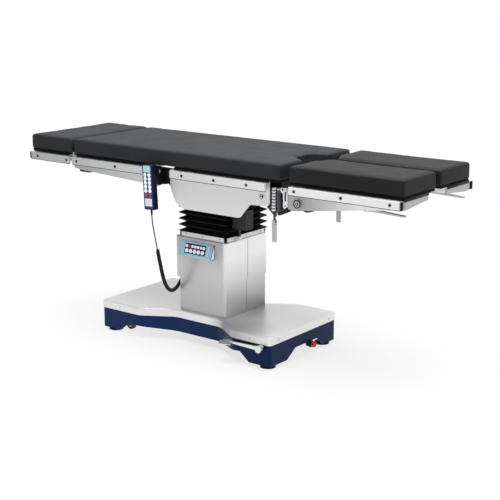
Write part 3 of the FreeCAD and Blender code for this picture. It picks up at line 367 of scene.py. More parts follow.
node_finishes = [
    (steel_finish, ["base_chassis", "column_pillar", "mast", "lift_head", "tilt_cross"]),
    (bright_finish, ["lift_ram", "brake_pedal"]),
    (navy_finish, ["base_skirt"]),
    (lid_finish, ["base_cover"]),
    (column_finish, ["lower_casing", "middle_shroud", "upper_sleeve"]),
    (rail_finish, ["collar_strips", "seat_rails", "back_rails", "head_rails"]),
    (black_finish, ["floor_pads", "seat_frame"]),
    (red_finish, ["stop_button"]),
    (sky_finish, ["control_panel"]),
    (housing_finish, ["actuator_housing", "hinge_gearboxes"]),
    (plate_finish, ["back_frame", "head_frame", "seat_side_plates"]),
    (board_finish, ["seat_board", "back_board", "head_board"]),
    (handset_finish, ["handset"]),
]
for side in SIDES:
    leg = side + "_leg_"
    node_finishes += [
        (shaded_finish, [leg + "knuckle"]),
        (dull_bright_finish, [leg + "catch", leg + "release"]),
        (leg_plate_finish, [leg + "frame"]),
        (rail_finish, [leg + "rail"]),
        (board_finish, [leg + "board"]),
        # The castor forks are dark as painted shade under the skirt.
        (shaded_finish, ["castor_fork_" + side + "_" + end for end in ENDS]),
        (tyre_finish, ["castor_wheel_" + side + "_" + end for end in ENDS]),
    ]
for finish, names in node_finishes:
    for name in names:
        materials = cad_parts[name].data.materials
        materials.clear()
        materials.append(finish.material)

# Making pieces: all sizes below are in millimetres and are turned to metres when a piece is finished


def finished(name, bm, finish, body, smooth_angle=35.0):
    """Turns a bmesh in millimetres into a piece that rides on a body."""
    bmesh.ops.remove_doubles(bm, verts=bm.verts, dist=0.0005)
    bmesh.ops.recalc_face_normals(bm, faces=bm.faces)
    for face in bm.faces:
        face.smooth = True
    for edge in bm.edges:
        edge.smooth = len(edge.link_faces) == 2 and edge.calc_face_angle(0.0) < math.radians(smooth_angle)
    bmesh.ops.scale(bm, vec=(MM, MM, MM), verts=bm.verts)
    mesh = bpy.data.meshes.new(name)
    bm.to_mesh(mesh)
    bm.free()
    mesh.materials.append(finish.material)
    piece = bpy.data.objects.new(name, mesh)
    bpy.context.collection.objects.link(piece)
    if body:
        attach(piece, body)
    return piece


def fresh():
    return bmesh.new()


def round_off(bm, geom, offset, segments=2, affect="EDGES"):
    """Bevels edges, or corners where affect says VERTICES."""
    bmesh.ops.bevel(bm, geom=geom, offset=offset, segments=segments, affect=affect, profile=0.5, material=-1)


def rectangle(x0, x1, y0, y1):
    return [(x0, y0), (x1, y0), (x1, y1), (x0, y1)]


def add_block(bm, x0, x1, y0, y1, z0, z1, edge=0.0):
    """A block with bevelled edges."""
    made = bmesh.ops.create_cube(bm, size=1.0)["verts"]
    bmesh.ops.scale(bm, vec=(x1 - x0, y1 - y0, z1 - z0), verts=made)
    bmesh.ops.translate(bm, vec=((x0 + x1) / 2, (y0 + y1) / 2, (z0 + z1) / 2), verts=made)
    if edge:
        round_off(bm, list({e for v in made for e in v.link_edges}), edge)
    return made


ALONG = {
    "x": Matrix.Rotation(math.radians(90), 3, "Y"),
    "y": Matrix.Rotation(math.radians(-90), 3, "X"),
    "z": Matrix.Identity(3),
}


def add_rod(bm, axis, centre, length, radius, end_radius=None, sides=32, edge=0.0):
    """A round rod or cone along an axis, its middle at centre, with bevelled ends."""
    before = set(bm.verts)
    last = radius if end_radius is None else end_radius
    made = bmesh.ops.create_cone(
        bm, cap_ends=True, segments=sides, radius1=radius, radius2=last, depth=length,
    )["verts"]
    if edge:
        caps = [f for f in {f for v in made for f in v.link_faces} if len(f.verts) == sides]
        round_off(bm, list({e for f in caps for e in f.edges}), edge)
    made = [v for v in bm.verts if v not in before]
    bmesh.ops.rotate(bm, cent=(0, 0, 0), matrix=ALONG[axis], verts=made)
    bmesh.ops.translate(bm, vec=centre, verts=made)
    return made


def add_prism(bm, points, plane, start, depth, corner=0.0, edge=0.0, corner_segments=4):
    """An outline in one plane, its corners rounded, carried along the third axis."""
    first, second, third = {"xy": (0, 1, 2), "xz": (0, 2, 1), "yz": (1, 2, 0)}[plane]
    before = set(bm.verts)
    verts = []
    for a, b in points:
        spot = [0.0, 0.0, 0.0]
        spot[first] = a
        spot[second] = b
        spot[third] = start
        verts.append(bm.verts.new(spot))
    bm.faces.new(verts)
    radii = corner if isinstance(corner, (list, tuple)) else [corner] * len(verts)
    for vert, radius in zip(verts, radii):
        if radius:
            round_off(bm, [vert], radius, corner_segments, "VERTICES")
    new_faces = [f for f in bm.faces if all(v not in before for v in f.verts)]
    raised = bmesh.ops.extrude_face_region(bm, geom=new_faces)["geom"]
    shift = [0.0, 0.0, 0.0]
    shift[third] = depth
    moved = [g for g in raised if isinstance(g, bmesh.types.BMVert)]
    bmesh.ops.translate(bm, vec=shift, verts=moved)
    made = [v for v in bm.verts if v not in before]
    if edge:
        rim = []
        for e in {e for v in made for e in v.link_edges}:
            a, b = (v.co[third] for v in e.verts)
            if abs(a - b) < 1e-6:
                rim.append(e)
        round_off(bm, rim, edge)
        made = [v for v in bm.verts if v not in before]
    return made


def copy_across(bm):
    """Repeats everything on the other side of the middle plane."""
    geom = bm.verts[:] + bm.edges[:] + bm.faces[:]
    made = bmesh.ops.duplicate(bm, geom=geom)["geom"]
    verts = [g for g in made if isinstance(g, bmesh.types.BMVert)]
    bmesh.ops.scale(bm, vec=(1, -1, 1), verts=verts)


# Cushions

PAD_LOW = 825.0
PAD_HIGH = 895.0
PAD_HALF_WIDTH = 268.0
CLOTH_STEPS = 20


def apply_modifiers(piece):
    graph = bpy.context.evaluated_depsgraph_get()
    mesh = bpy.data.meshes.new_from_object(piece.evaluated_get(graph))
    piece.modifiers.clear()
    piece.data = mesh


def grow(piece, cap):
    """Blows the pad up a little with cloth pressure, and holds each point within cap of its start."""
    remesh = piece.modifiers.new("even_mesh", "REMESH")
    remesh.mode = "VOXEL"
    remesh.voxel_size = 0.006
    apply_modifiers(piece)
    start = [v.co.copy() for v in piece.data.vertices]
    cloth = piece.modifiers.new("pressure", "CLOTH")
    settings = cloth.settings
    settings.use_pressure = True
    settings.uniform_pressure_force = 4.0
    settings.effector_weights.gravity = 0.0
    settings.quality = 4
    settings.mass = 0.3
    settings.tension_stiffness = 20.0
    settings.compression_stiffness = 20.0
    settings.bending_stiffness = 6.0
    cloth.collision_settings.use_collision = False
    scene = bpy.context.scene
    for number in range(1, CLOTH_STEPS + 1):
        scene.frame_set(number)
    apply_modifiers(piece)
    scene.frame_set(1)
    for vert, spot in zip(piece.data.vertices, start):
        moved = vert.co - spot
        if moved.length > cap:
            vert.co = spot + moved.normalized() * cap


def settle(piece, low_z):
    """Flattens the underside of a swollen pad where it lies on its board."""
    for vert in piece.data.vertices:
        if vert.co.z < low_z + 0.002:
            vert.co.z = low_z + 0.0002


def cushion(name, points, corners, body, nodes, cuts=()):
    """One foam pad in its cover: rounded, slightly swollen, and cut across where it has to bend."""
    bm = fresh()
    swell = 2.5
    add_prism(bm, points, "xy", PAD_LOW + 1.0, PAD_HIGH - PAD_LOW - 1.0 - swell, corners, 0, 6)
    top = [e for e in bm.edges if all(v.co.z > PAD_HIGH - swell - 1 for v in e.verts)]
    round_off(bm, top, 9.0, 4)
    bottom = [e for e in bm.edges if all(v.co.z < PAD_LOW + 1.5 for v in e.verts)]
    round_off(bm, bottom, 4.0)
    for x in cuts:
        geom = bm.verts[:] + bm.edges[:] + bm.faces[:]
        bmesh.ops.bisect_plane(bm, geom=geom, plane_co=(x, 0, 0), plane_no=(1, 0, 0))
    piece = finished(name, bm, cover_finish, None, 60.0)
    grow(piece, 0.0035)
    settle(piece, PAD_LOW * MM)
    for polygon in piece.data.polygons:
        polygon.use_smooth = True
    smooth = piece.modifiers.new("soft_surface", "SUBSURF")
    smooth.levels = 1
    smooth.render_levels = 1
    apply_modifiers(piece)
    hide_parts(*nodes)
    if body:
        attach(piece, body)
    return piece


def add_cushions():
    half = PAD_HALF_WIDTH
    head_end, leg_end = -737, 443
    main = cushion(
        "main_cushion",
        [(head_end, -half), (leg_end, -half), (leg_end, -102), (370, -59),
         (370, 59), (leg_end, 102), (leg_end, half), (head_end, half)],
        [9, 9, 10, 26, 26, 10, 9, 9], None, ["back_pad", "pad_fold", "seat_pad"],
        range(-252, -84, 12),
    )
    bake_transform(main)
    head = cushion(
        "head_cushion", rectangle(-1022, -751, -half, half), 9, None, ["head_pad", "head_pad_end"],
        range(-835, -755, 12),
    )
    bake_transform(head)
    for side, s in SIDES.items():
        points = [(486, s * half), (1024, s * half), (1024, s * 15.5), (531, s * 15.5), (486, s * 106)]
        cushion(side + "_leg_cushion", points, [9, 9, 9, 16, 16], side + "_leg", [side + "_leg_pad"])


add_cushions()

# Bellows between the sleeve's neck and the tilt cross

BELLOWS_HALF = (140.0, 150.0)
PLEAT = 27.6
FIRST_TIP = 543.0
BELLOWS_TOP = 694.0


def pleat_levels():
    """Each ring's inset from the pleats' tips and its height, from the clamped foot to the top."""
    levels = [
        (8.5, 512.0), (1.5, 513.6), (0.0, 514.6), (0.0, 516.4), (2.2, 517.8), (23.0, 527.8), (24.0, 529.2),
    ]
    tip = FIRST_TIP
    while tip < BELLOWS_TOP - 4.0:
        levels += [(2.2, tip - 2.4), (0.0, tip - 1.0), (0.0, tip + 1.0), (2.2, tip + 2.4)]
        levels += [(23.0, tip + 12.4), (24.0, tip + 13.8)]
        tip += PLEAT
    return [level for level in levels if level[1] < BELLOWS_TOP - 2.0] + [(23.0, BELLOWS_TOP)]


def add_bellows():
    """Pleats through rounded-corner rings, wide and narrow by turns, with soft tips."""
    bm = fresh()
    rings = []
    for inset, z in pleat_levels():
        x, y = (half - inset for half in BELLOWS_HALF)
        verts = [bm.verts.new((a, b, z)) for a, b in rectangle(-x, x, -y, y)]
        bm.faces.new(verts)
        round_off(bm, verts, 7.0, 4, "VERTICES")
        rings.append([e for e in bm.edges if all(abs(v.co.z - z) < 1e-4 for v in e.verts)])
        bmesh.ops.delete(bm, geom=[f for f in bm.faces if len(f.verts) > 4], context="FACES_ONLY")
    for first, second in zip(rings, rings[1:]):
        bmesh.ops.bridge_loops(bm, edges=first + second)
    bmesh.ops.translate(bm, vec=(-62.0, 0, 0), verts=bm.verts)
    bmesh.ops.recalc_face_normals(bm, faces=bm.faces)
    walls = [f for f in bm.faces if f.calc_area() > 30]
    long_edges = list({e for f in walls for e in f.edges if e.calc_length() > 60})
    bmesh.ops.subdivide_edges(bm, edges=long_edges, cuts=5, use_grid_fill=True)
    for vert in bm.verts:
        sag = math.sin(math.radians(vert.co.y * 2.1 + vert.co.z)) * math.cos(math.radians(vert.co.x * 1.7))
        vert.co.x += sag * 0.7
        vert.co.y += math.cos(math.radians(vert.co.x * 2.0 + vert.co.z * 3)) * 0.6
    piece = finished("bellows_skin", bm, bellows_finish, None, 55.0)
    wall = piece.modifiers.new("wall", "SOLIDIFY")
    wall.thickness = 0.0015
    wall.offset = -1.0
    apply_modifiers(piece)
    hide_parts("bellows")
    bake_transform(piece)


add_bellows()

# Handset cord: straight lead, coiled part and tail, one cord from handset to seat frame

WIRE_RADIUS = 2.6
CURL_RADIUS = 9.0
CURL_PITCH = 5.9
POINTS_PER_TURN = 14
CORD_LOW = 233.0
HANDSET_X = -232.0
HANDSET_TOP = 832.0
HANDSET_LEAN = math.radians(3.0)
HANDSET_DROP = 225.0
HANDSET_Y = -303.5
SOCKET_HEIGHT = 802


def along_handset(length):
    """A run of the given length along the leaning handset, downward."""
    return Vector((length * math.sin(HANDSET_LEAN), 0, -length * math.cos(HANDSET_LEAN)))


def cord_places(places):
    """Points whose heights are shares of the way from the loop's lowest point to the handset's top."""
    return [Vector((x, y, CORD_LOW + share * (HANDSET_TOP - CORD_LOW))) for x, y, share in places]


cord_exit = Vector((HANDSET_X, HANDSET_Y, HANDSET_TOP)) + along_handset(HANDSET_DROP)
lead_route = [cord_exit, cord_exit + along_handset(36)] + cord_places([
    (-206, -303, 0.479), (-202, -300, 0.421), (-200, -294, 0.3702),
])
curl_route = cord_places([
    (-200, -294, 0.3694), (-198, -288, 0.309), (-198, -277, 0.239), (-202, -262, 0.167), (-210, -240, 0.097),
    (-218, -212, 0.037), (-226, -176, 0.0), (-232, -138, 0.002), (-236, -104, 0.038), (-238, -76, 0.095),
    (-239, -54, 0.162), (-239, -37, 0.234), (-239, -24, 0.309),
])
tail_route = cord_places([
    (-239, -24, 0.3098), (-239, -17, 0.369), (-239, -11, 0.434), (-239, -7, 0.512), (-239, -4, 0.596),
    (-238, -2, 0.679), (-236, -1, 0.753), (-233, 0, 0.82), (-225, 0, 0.883), (-208, 0, 0.93),
]) + [Vector((-187, 0, SOCKET_HEIGHT)), Vector((-166, 0, SOCKET_HEIGHT))]


def curve_through(kind, points):
    """A curve with one open spline of this kind that has these points."""
    data = bpy.data.curves.new("line", "CURVE")
    data.dimensions = "3D"
    spline = data.splines.new(kind)
    spline.points.add(len(points) - 1)
    for target, point in zip(spline.points, points):
        target.co = (*point, 1.0)
    return data


def mesh_of(curve):
    """The curve's mesh. The object that it takes to work it out is removed again."""
    guide = bpy.data.objects.new("guide", curve)
    bpy.context.collection.objects.link(guide)
    graph = bpy.context.evaluated_depsgraph_get()
    mesh = bpy.data.meshes.new_from_object(guide.evaluated_get(graph))
    bpy.data.objects.remove(guide)
    return mesh


def line_of(route):
    """Points of the smooth line that the route's points guide, in millimetres."""
    curve = curve_through("NURBS", route)
    spline = curve.splines[0]
    spline.order_u = 3
    spline.use_endpoint_u = True
    spline.resolution_u = 24
    return [v.co.copy() for v in mesh_of(curve).vertices]


def evenly(line, step):
    """The line read again at equal steps."""
    spots = [line[0].copy()]
    carried = 0.0
    for first, second in zip(line, line[1:]):
        run = (second - first).length
        reached = step - carried
        while reached <= run:
            spots.append(first.lerp(second, reached / run))
            reached += step
        carried = run - (reached - step)
    spots.append(line[-1].copy())
    return spots


def coiled(line, radius):
    """A helix round a line; its radius starts and ends at nothing so that it runs into plain cord."""
    spots = evenly(line, CURL_PITCH / POINTS_PER_TURN)
    count = len(spots) - 1
    run_in = POINTS_PER_TURN * 0.75
    side = Vector((1, 0, 0))
    made = []
    for i, spot in enumerate(spots):
        ahead = (spots[min(i + 1, count)] - spots[max(i - 1, 0)]).normalized()
        side = (side - ahead * side.dot(ahead)).normalized()
        other = ahead.cross(side)
        angle = 2 * math.pi * i / POINTS_PER_TURN
        ramp = min(1.0, i / run_in, (count - i) / run_in)
        made.append(spot + (side * math.cos(angle) + other * math.sin(angle)) * radius * ramp)
    return made


def add_cord():
    curl = coiled(line_of(curl_route), CURL_RADIUS - WIRE_RADIUS)
    path = [p * MM for p in line_of(lead_route)[:-1] + curl + line_of(tail_route)[1:]]
    curve = curve_through("POLY", path)
    curve.bevel_depth = WIRE_RADIUS * MM
    curve.bevel_resolution = 2
    curve.use_fill_caps = True
    mesh = mesh_of(curve)
    mesh.name = "handset_cord"
    mesh.materials.clear()
    mesh.materials.append(cord_finish.material)
    for polygon in mesh.polygons:
        polygon.use_smooth = True
    piece = bpy.data.objects.new("handset_cord", mesh)
    bpy.context.collection.objects.link(piece)
    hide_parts("cord_lead", "cord_curl", "cord_tail")
    sum((b - a).length for a, b in zip(path, path[1:]))
    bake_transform(piece)


add_cord()

# Small parts and surface details

# DARK and SHADED serve real dark parts and also dark pieces that are painted shade.
DARK = (black_finish, "dark_paint")
SHADED = (shaded_finish, "dark_paint")
BRIGHT = (bright_finish, "bright")


def detail(name, bm, look, body, smooth_angle=35.0):
    """A piece whose look is a finish and a slot; the slot is not used."""
    finish, slot = look
    return finished(name, bm, finish, body, smooth_angle)


def add_screw(bm, dark, axis, centre, outward, radius):
    """A low screw head whose face points outward along the axis, with a thin dark disc in it as painted shade
    of its recess.
    """
    index = "xyz".index(axis)
    face = list(centre)
    face[index] += outward * 0.7
    add_rod(bm, axis, face, 1.4, radius, sides=24, edge=0.4)
    # Painted shade: a thin dark disc where the recess is.
    face[index] += outward * 0.75
    add_rod(dark, axis, face, 0.3, radius * 0.62, sides=6)


def mirrored_pair(name, make, look, owner, smooth_angle=35.0):
    """The same shape on the near side and mirrored to the far side; make builds the near one.

    A leg section or its knuckle gets a piece on each side, and any other body one piece with both.
    """
    if owner not in ("leg", "knuckle"):
        bm = fresh()
        make(bm)
        copy_across(bm)
        detail(name, bm, look, owner, smooth_angle)
        return
    for side in SIDES:
        bm = fresh()
        make(bm)
        if side == "far":
            bmesh.ops.scale(bm, vec=(1, -1, 1), verts=bm.verts)
        detail(side + "_" + name, bm, look, side + "_" + owner, smooth_angle)


def turned(bm, made, origin, across, up):
    """Moves verts from a flat local frame onto a face: its two directions and their normal."""
    normal = Vector(across).cross(Vector(up))
    matrix = Matrix((across, up, normal)).transposed().to_4x4()
    matrix.translation = origin
    bmesh.ops.transform(bm, matrix=matrix, verts=made)


RAIL_MIDDLE = 796
RAIL_FACE = 285
RAIL_CAP = (-285.6, -275.4, 779.4, 812.6)
# Profiles of dark strips that are painted shadow: under the rails, and along the side plates above them.
UNDER_RAIL_SHADOW = (-284.6, -276.4, 777.4, 780.2)
SHADOW_STRIP = (-257.4, -255.9, 811.0, 819.0)


def add_rail_details():
    """Screw heads along the rails, dark strips of painted shadow above and below them and black caps on their
    outer ends.
    """
    places = {
        "seat": (-62, 115, 289), "back": (-700, -455), "head": (-960, -766), "leg": (529, 751, 971),
    }
    for section, xs in places.items():
        for side, s in SIDES.items():
            heads, recess_shades = fresh(), fresh()
            for x in xs:
                add_screw(heads, recess_shades, "y", (x, s * RAIL_FACE, RAIL_MIDDLE), s, 6.5)
            owner = side + "_leg" if section == "leg" else section
            name = side + "_" + section + "_rail_"
            detail(name + "screws", heads, (shaded_finish, "bright"), owner)
            detail(name + "recess_shades", recess_shades, DARK, owner)

    # Both kinds of strip are painted shadow.
    shadows = {"seat": (-130, 384), "back": (-722, -140), "head": (-1012, -778)}
    rail_shadow_spans = {"seat": (-130, 384), "back": (-730, -205), "head": (-1004, -752)}
    for ending, look, profile, spans in (
        ("_shadow_strips", DARK, SHADOW_STRIP, shadows),
        ("_under_rail_shadows", SHADED, UNDER_RAIL_SHADOW, rail_shadow_spans),
    ):
        for section, (x0, x1) in spans.items():
            strips = fresh()
            add_block(strips, x0, x1, *profile, 0.4)
            copy_across(strips)
            detail(section + ending, strips, look, section)

    # Painted shadow under the leg rails.
    def under_rail_shadow(bm):
        add_block(bm, 502, 1016, *UNDER_RAIL_SHADOW, 0.4)

    def leg_strip(bm):
        add_block(bm, 486, 1021, *SHADOW_STRIP, 0.4)
        add_block(bm, 1019.9, 1022.0, -257, -75, 808.0, 819.0, 0.4)

    def head_cap(bm):
        add_block(bm, -1012.6, -1003.8, *RAIL_CAP, 1.2)

    def leg_cap(bm):
        add_block(bm, 1015.8, 1024.6, *RAIL_CAP, 1.2)

    mirrored_pair("leg_rail_underside", under_rail_shadow, SHADED, "leg")
    mirrored_pair("leg_shadow_strip", leg_strip, DARK, "leg")
    mirrored_pair("head_rail_caps", head_cap, DARK, "head")
    mirrored_pair("leg_rail_cap", leg_cap, DARK, "leg")


PIVOT = (349, 752)


def add_seat_details():
    """Slotted pivot bolts and small screws on the side plates."""
    x, z = PIVOT

    def faces(bm):
        add_rod(bm, "y", (x, -260.2, z), 0.9, 9.6, sides=32, edge=0.3)

    def rings(bm):
        add_rod(bm, "y", (x, -260.9, z), 0.7, 6.2, sides=24, edge=0.2)

    # Painted shade: a thin dark block on the bolt face where its slot is.
    def slots(bm):
        add_block(bm, x - 8, x + 8, -261.9, -261.1, z - 1.6, z + 1.6)

    def screws(bm):
        for place in ((372, 800), (x, 728)):
            add_rod(bm, "y", (place[0], -256.6, place[1]), 1.4, 3.6, sides=20, edge=0.4)

    mirrored_pair("pivot_faces", faces, DARK, "seat")
    mirrored_pair("pivot_rings", rings, BRIGHT, "seat")
    mirrored_pair("pivot_slots", slots, DARK, "seat")
    mirrored_pair("side_plate_screws", screws, BRIGHT, "seat")


def add_back_details():
    """Black covers over the hinge arms, hooks between the sections and a block below the head end."""

    def covers(bm):
        add_prism(bm, rectangle(-252, -156, 770.5, 809.5), "xz", -248.6, 21.2, [6, 17, 17, 6], 1.0)

    def ends(bm):
        points = [(-262, 812), (-196, 812), (-196, 746), (-206, 735), (-262, 738)]
        add_prism(bm, points, "xz", -258.2, 2.2, [1, 1, 10, 10, 1], 0.4)

    def rail_ends(bm):
        add_block(bm, -226, -196.4, -285.8, -275.2, 779.0, 812.8, 1.0)

    def shells(bm):
        points = [(-248, 771), (-176, 771), (-176, 742), (-222, 736), (-240, 746)]
        add_prism(bm, points, "xz", -246.0, 18.0, [3, 3, 6, 6, 6], 1.0)

    def blocks(bm):
        add_block(bm, -714, -649, -252, -232, 743.0, 756.0, 2.0)

    def hooks(bm):
        add_block(bm, -744, -734, -264, -257, 806.0, 832.0, 1.5)
        add_block(bm, -744, -722, -264, -257, 806.0, 812.0, 1.5)

    mirrored_pair("hinge_arm_covers", covers, DARK, "back")
    mirrored_pair("back_rail_ends", rail_ends, DARK, "back")
    mirrored_pair("hinge_arm_ends", ends, DARK, "back")
    mirrored_pair("hinge_arm_shells", shells, DARK, "back")
    mirrored_pair("head_end_blocks", blocks, DARK, "back")
    mirrored_pair("section_hooks", hooks, BRIGHT, "back")


BARREL_AT = (401, -240)
PIVOT_COLUMN_AT = (427, -240)
PIVOT_COLUMN_FOOT = 699.0
PIVOT_COLUMN_HEIGHT = 78.0
TOOTH_COUNT = 44
TOOTH_TIP = 13.1
TOOTH_ROOT = 12.4
SIDE_PLATE_CLEAR = -252.85
KNOB_AT = (529, -263.6, 742)
BRACKET_BOLT = (450, 789)
BRACKET_PIN = (464, 725)


def add_leg_details():
    """Knurled pivot columns, ringed barrels, lock knobs, slotted brackets and hubs of the leg sections."""

    def knurls(bm):
        x, y = PIVOT_COLUMN_AT
        points = []
        for i in range(TOOTH_COUNT * 2):
            angle = math.pi * i / TOOTH_COUNT
            radius = TOOTH_TIP if i % 2 else TOOTH_ROOT
            # The teeth stay just clear of the side plate's inner face.
            points.append((x + radius * math.cos(angle), max(SIDE_PLATE_CLEAR, y + radius * math.sin(angle))))
        add_prism(bm, points, "xy", PIVOT_COLUMN_FOOT, PIVOT_COLUMN_HEIGHT)

    def rings(bm):
        for i in range(8):
            add_rod(bm, "z", (*BARREL_AT, 700.5 + i * 12.6), 10.2, 12.2, sides=40, edge=2.2)

    def knobs(bm):
        sides = 40
        outer = add_rod(bm, "y", KNOB_AT, 1.4, 17.6, sides=sides, edge=0.5)
        caps = [f for f in {f for v in outer for f in v.link_faces} if len(f.verts) == sides]
        face = [f for f in caps if f.calc_center_median().y < -264]
        bmesh.ops.inset_region(bm, faces=face, thickness=3.6)
        bmesh.ops.delete(bm, geom=face, context="FACES_ONLY")
        add_rod(bm, "y", KNOB_AT, 1.8, 5.0, sides=24, edge=0.5)

    def knob_bolts(bm):
        x, y, z = KNOB_AT
        add_rod(bm, "y", (x, y - 1.3, z), 1.2, 2.6, sides=6, edge=0.3)

    def backings(bm):
        add_block(bm, 441.5, 484, -245.6, -241.4, 704.0, 790.0)
        add_rod(bm, "y", (452, -245.0, 789), 1.2, 5.0, sides=20)

    def arms(bm):
        points = [
            (441, 798), (470, 798), (476, 790), (476, 718), (470, 712), (459, 712),
            (453, 718), (453, 772), (446, 780), (438, 786), (438, 794),
        ]
        add_prism(bm, points, "xz", -252.8, 2.2, [5, 2, 3, 4, 5, 5, 4, 4, 5, 5, 5], 0.5)

    def arm_marks(bm):
        add_block(bm, 461, 468, -253.6, -252.6, 744.0, 784.0, 0.2)
        for (x, z), radius in ((BRACKET_BOLT, 4.2), (BRACKET_PIN, 3.2)):
            add_rod(bm, "y", (x, -253.1, z), 1.0, radius, sides=20)

    def lower_covers(bm):
        points = [(428, 682), (438, 682), (491, 705), (491, 720), (470, 720), (444, 695), (428, 695)]
        add_prism(bm, points, "xz", -252.9, 2.6, 1.5)

    def hubs(bm):
        points = [(484, 722), (596, 722), (580, 711), (557, 705), (546, 705), (512, 716)]
        add_prism(bm, points, "xz", -230, 26, 3.0, 1.5)
        add_block(bm, 540, 564, -226, -210, 715.0, 786.0, 2.0)

    mirrored_pair("pivot_knurl", knurls, DARK, "knuckle", 30.0)
    mirrored_pair("lock_knob_face", knobs, DARK, "leg")
    mirrored_pair("lock_knob_bolt", knob_bolts, BRIGHT, "leg")
    mirrored_pair("barrel_rings", rings, BRIGHT, "knuckle")
    mirrored_pair("slot_backing", backings, DARK, "leg")
    mirrored_pair("bracket_arm", arms, BRIGHT, "leg")
    mirrored_pair("bracket_cover", lower_covers, DARK, "leg")
    mirrored_pair("bracket_marks", arm_marks, DARK, "leg")
    mirrored_pair("leg_hub", hubs, DARK, "leg")


STRIP_MIDDLE = 502


def add_column_details():
    """Screws and dark corners of the clamp strips, the housing's foot plate and the leg-end face's seam."""
    heads, recess_shades = fresh(), fresh()
    for x in (-160, -64, 32):
        for s in (-1, 1):
            add_screw(heads, recess_shades, "y", (x, s * 145.5, STRIP_MIDDLE), s, 3.8)
    for y in (-105, 0, 105):
        add_screw(heads, recess_shades, "x", (68.5, y, STRIP_MIDDLE), 1, 3.8)
        add_screw(heads, recess_shades, "x", (-197.0, y, STRIP_MIDDLE), -1, 3.8)
    detail("strip_screws", heads, BRIGHT, "lift")
    detail("strip_recess_shades", recess_shades, DARK, "lift")
    plate = fresh()
    add_block(plate, 86.9, 88.4, -79, -59, 492.8, 512.2, 0.6)
    add_block(plate, 68.4, 88.4, -79.4, -76.2, 492.8, 512.2, 0.6)
    detail("housing_foot_plate", plate, (rail_finish, "bright"), "lift")
    corners = fresh()
    for x in (-190.5, 62.0):
        for y in (-139.0, 139.0):
            add_block(corners, x - 6, x + 6, y - 6, y + 6, 492.8, 511.6, 2.0)
    detail("strip_corners", corners, DARK, "lift")
    for name, body, x, z0, z1 in (("sleeve", "lift", 72.6, 302, 486), ("casing", "base", 67.6, 146, 350)):
        seam = fresh()
        add_block(seam, x, x + 0.7, 4.2, 5.8, z0, z1)
        detail(name + "_seam", seam, DARK, body)


KEYS = (key_finish, "keys")
RED_KEYS = (red_key_finish, "red")


def add_panel_details():
    """The key panel's navy field, its white keys in two rows and its white end."""
    place = (Vector((-88.5, -163.6, 443.8)), Vector((1, 0, 0)), Vector((0, 0.3208, 0.9471)))
    field = fresh()
    turned(field, add_prism(field, rectangle(-62, 56, -23, 23), "xy", 0.0, 0.9, 4.0), *place)
    detail("panel_field", field, (navy_finish, "skirt"), "lift")
    keys, red_keys = fresh(), fresh()
    for column in range(7):
        u = -53 + column * 16.5
        group = red_keys if column == 1 else keys
        turned(group, add_prism(group, rectangle(u - 6.5, u + 6.5, 5, 17), "xy", 0.6, 1.9, 2.0), *place)
    for column in range(5):
        made = add_rod(keys, "z", (-49 + column * 22.5, -10, 1.4), 1.8, 9.6, sides=24, edge=0.4)
        turned(keys, made, *place)
    turned(keys, add_prism(keys, rectangle(70, 72, -24, 24), "xy", 0.1, 0.6, 0.5), *place)
    detail("panel_keys", keys, KEYS, "lift")
    detail("panel_red_key", red_keys, RED_KEYS, "lift")
    rim, end = fresh(), fresh()
    add_prism(rim, [(-149, 475), (-153.6, 475), (-175, 413), (-172, 408), (-149, 408)], "yz", 5.6, 0.9)
    add_prism(end, [(-152.4, 470), (-172, 413.6), (-170.5, 411), (-152.4, 411)], "yz", 6.2, 0.8)
    detail("panel_end_rim", rim, DARK, "lift")
    detail("panel_end", end, KEYS, "lift")


def add_handset_details():
    """The handset's face: a pale display, round white keys, a red pair and a bare pale label."""
    across = Vector((math.cos(HANDSET_LEAN), 0, math.sin(HANDSET_LEAN)))
    up = Vector((-math.sin(HANDSET_LEAN), 0, math.cos(HANDSET_LEAN)))
    place = (Vector((HANDSET_X, -318.6, HANDSET_TOP)), across, up)
    looks = {
        "field": (field_finish, "housing"), "display": (screen_finish, "keys"), "keys": KEYS,
        "red_keys": RED_KEYS, "label": (label_finish, "keys"),
    }
    groups = {group: fresh() for group in looks}

    def patch(group, v, half_u, half_v, start, depth, corner):
        outline = rectangle(-half_u, half_u, v - half_v, v + half_v)
        turned(groups[group], add_prism(groups[group], outline, "xy", start, depth, corner), *place)

    def key_pair(group, v, radius):
        for u in (-12, 12):
            made = add_rod(groups[group], "z", (u, v, 1.2), 1.6, radius, sides=20, edge=0.4)
            turned(groups[group], made, *place)

    patch("field", -100, 25.5, 93, 0.0, 0.7, 3.0)
    patch("display", -19, 20.5, 14.5, 0.4, 0.8, 2.0)
    for row in range(5):
        key_pair("keys", -45 - row * 17.5, 8.6)
    key_pair("red_keys", -133, 7.9)
    patch("label", -166, 20, 17, 0.4, 0.6, 1.5)
    for group, look in looks.items():
        detail("handset_" + group, groups[group], look, "back")


RIM_MIDDLE = 127
STOP_AT = (52, 45)


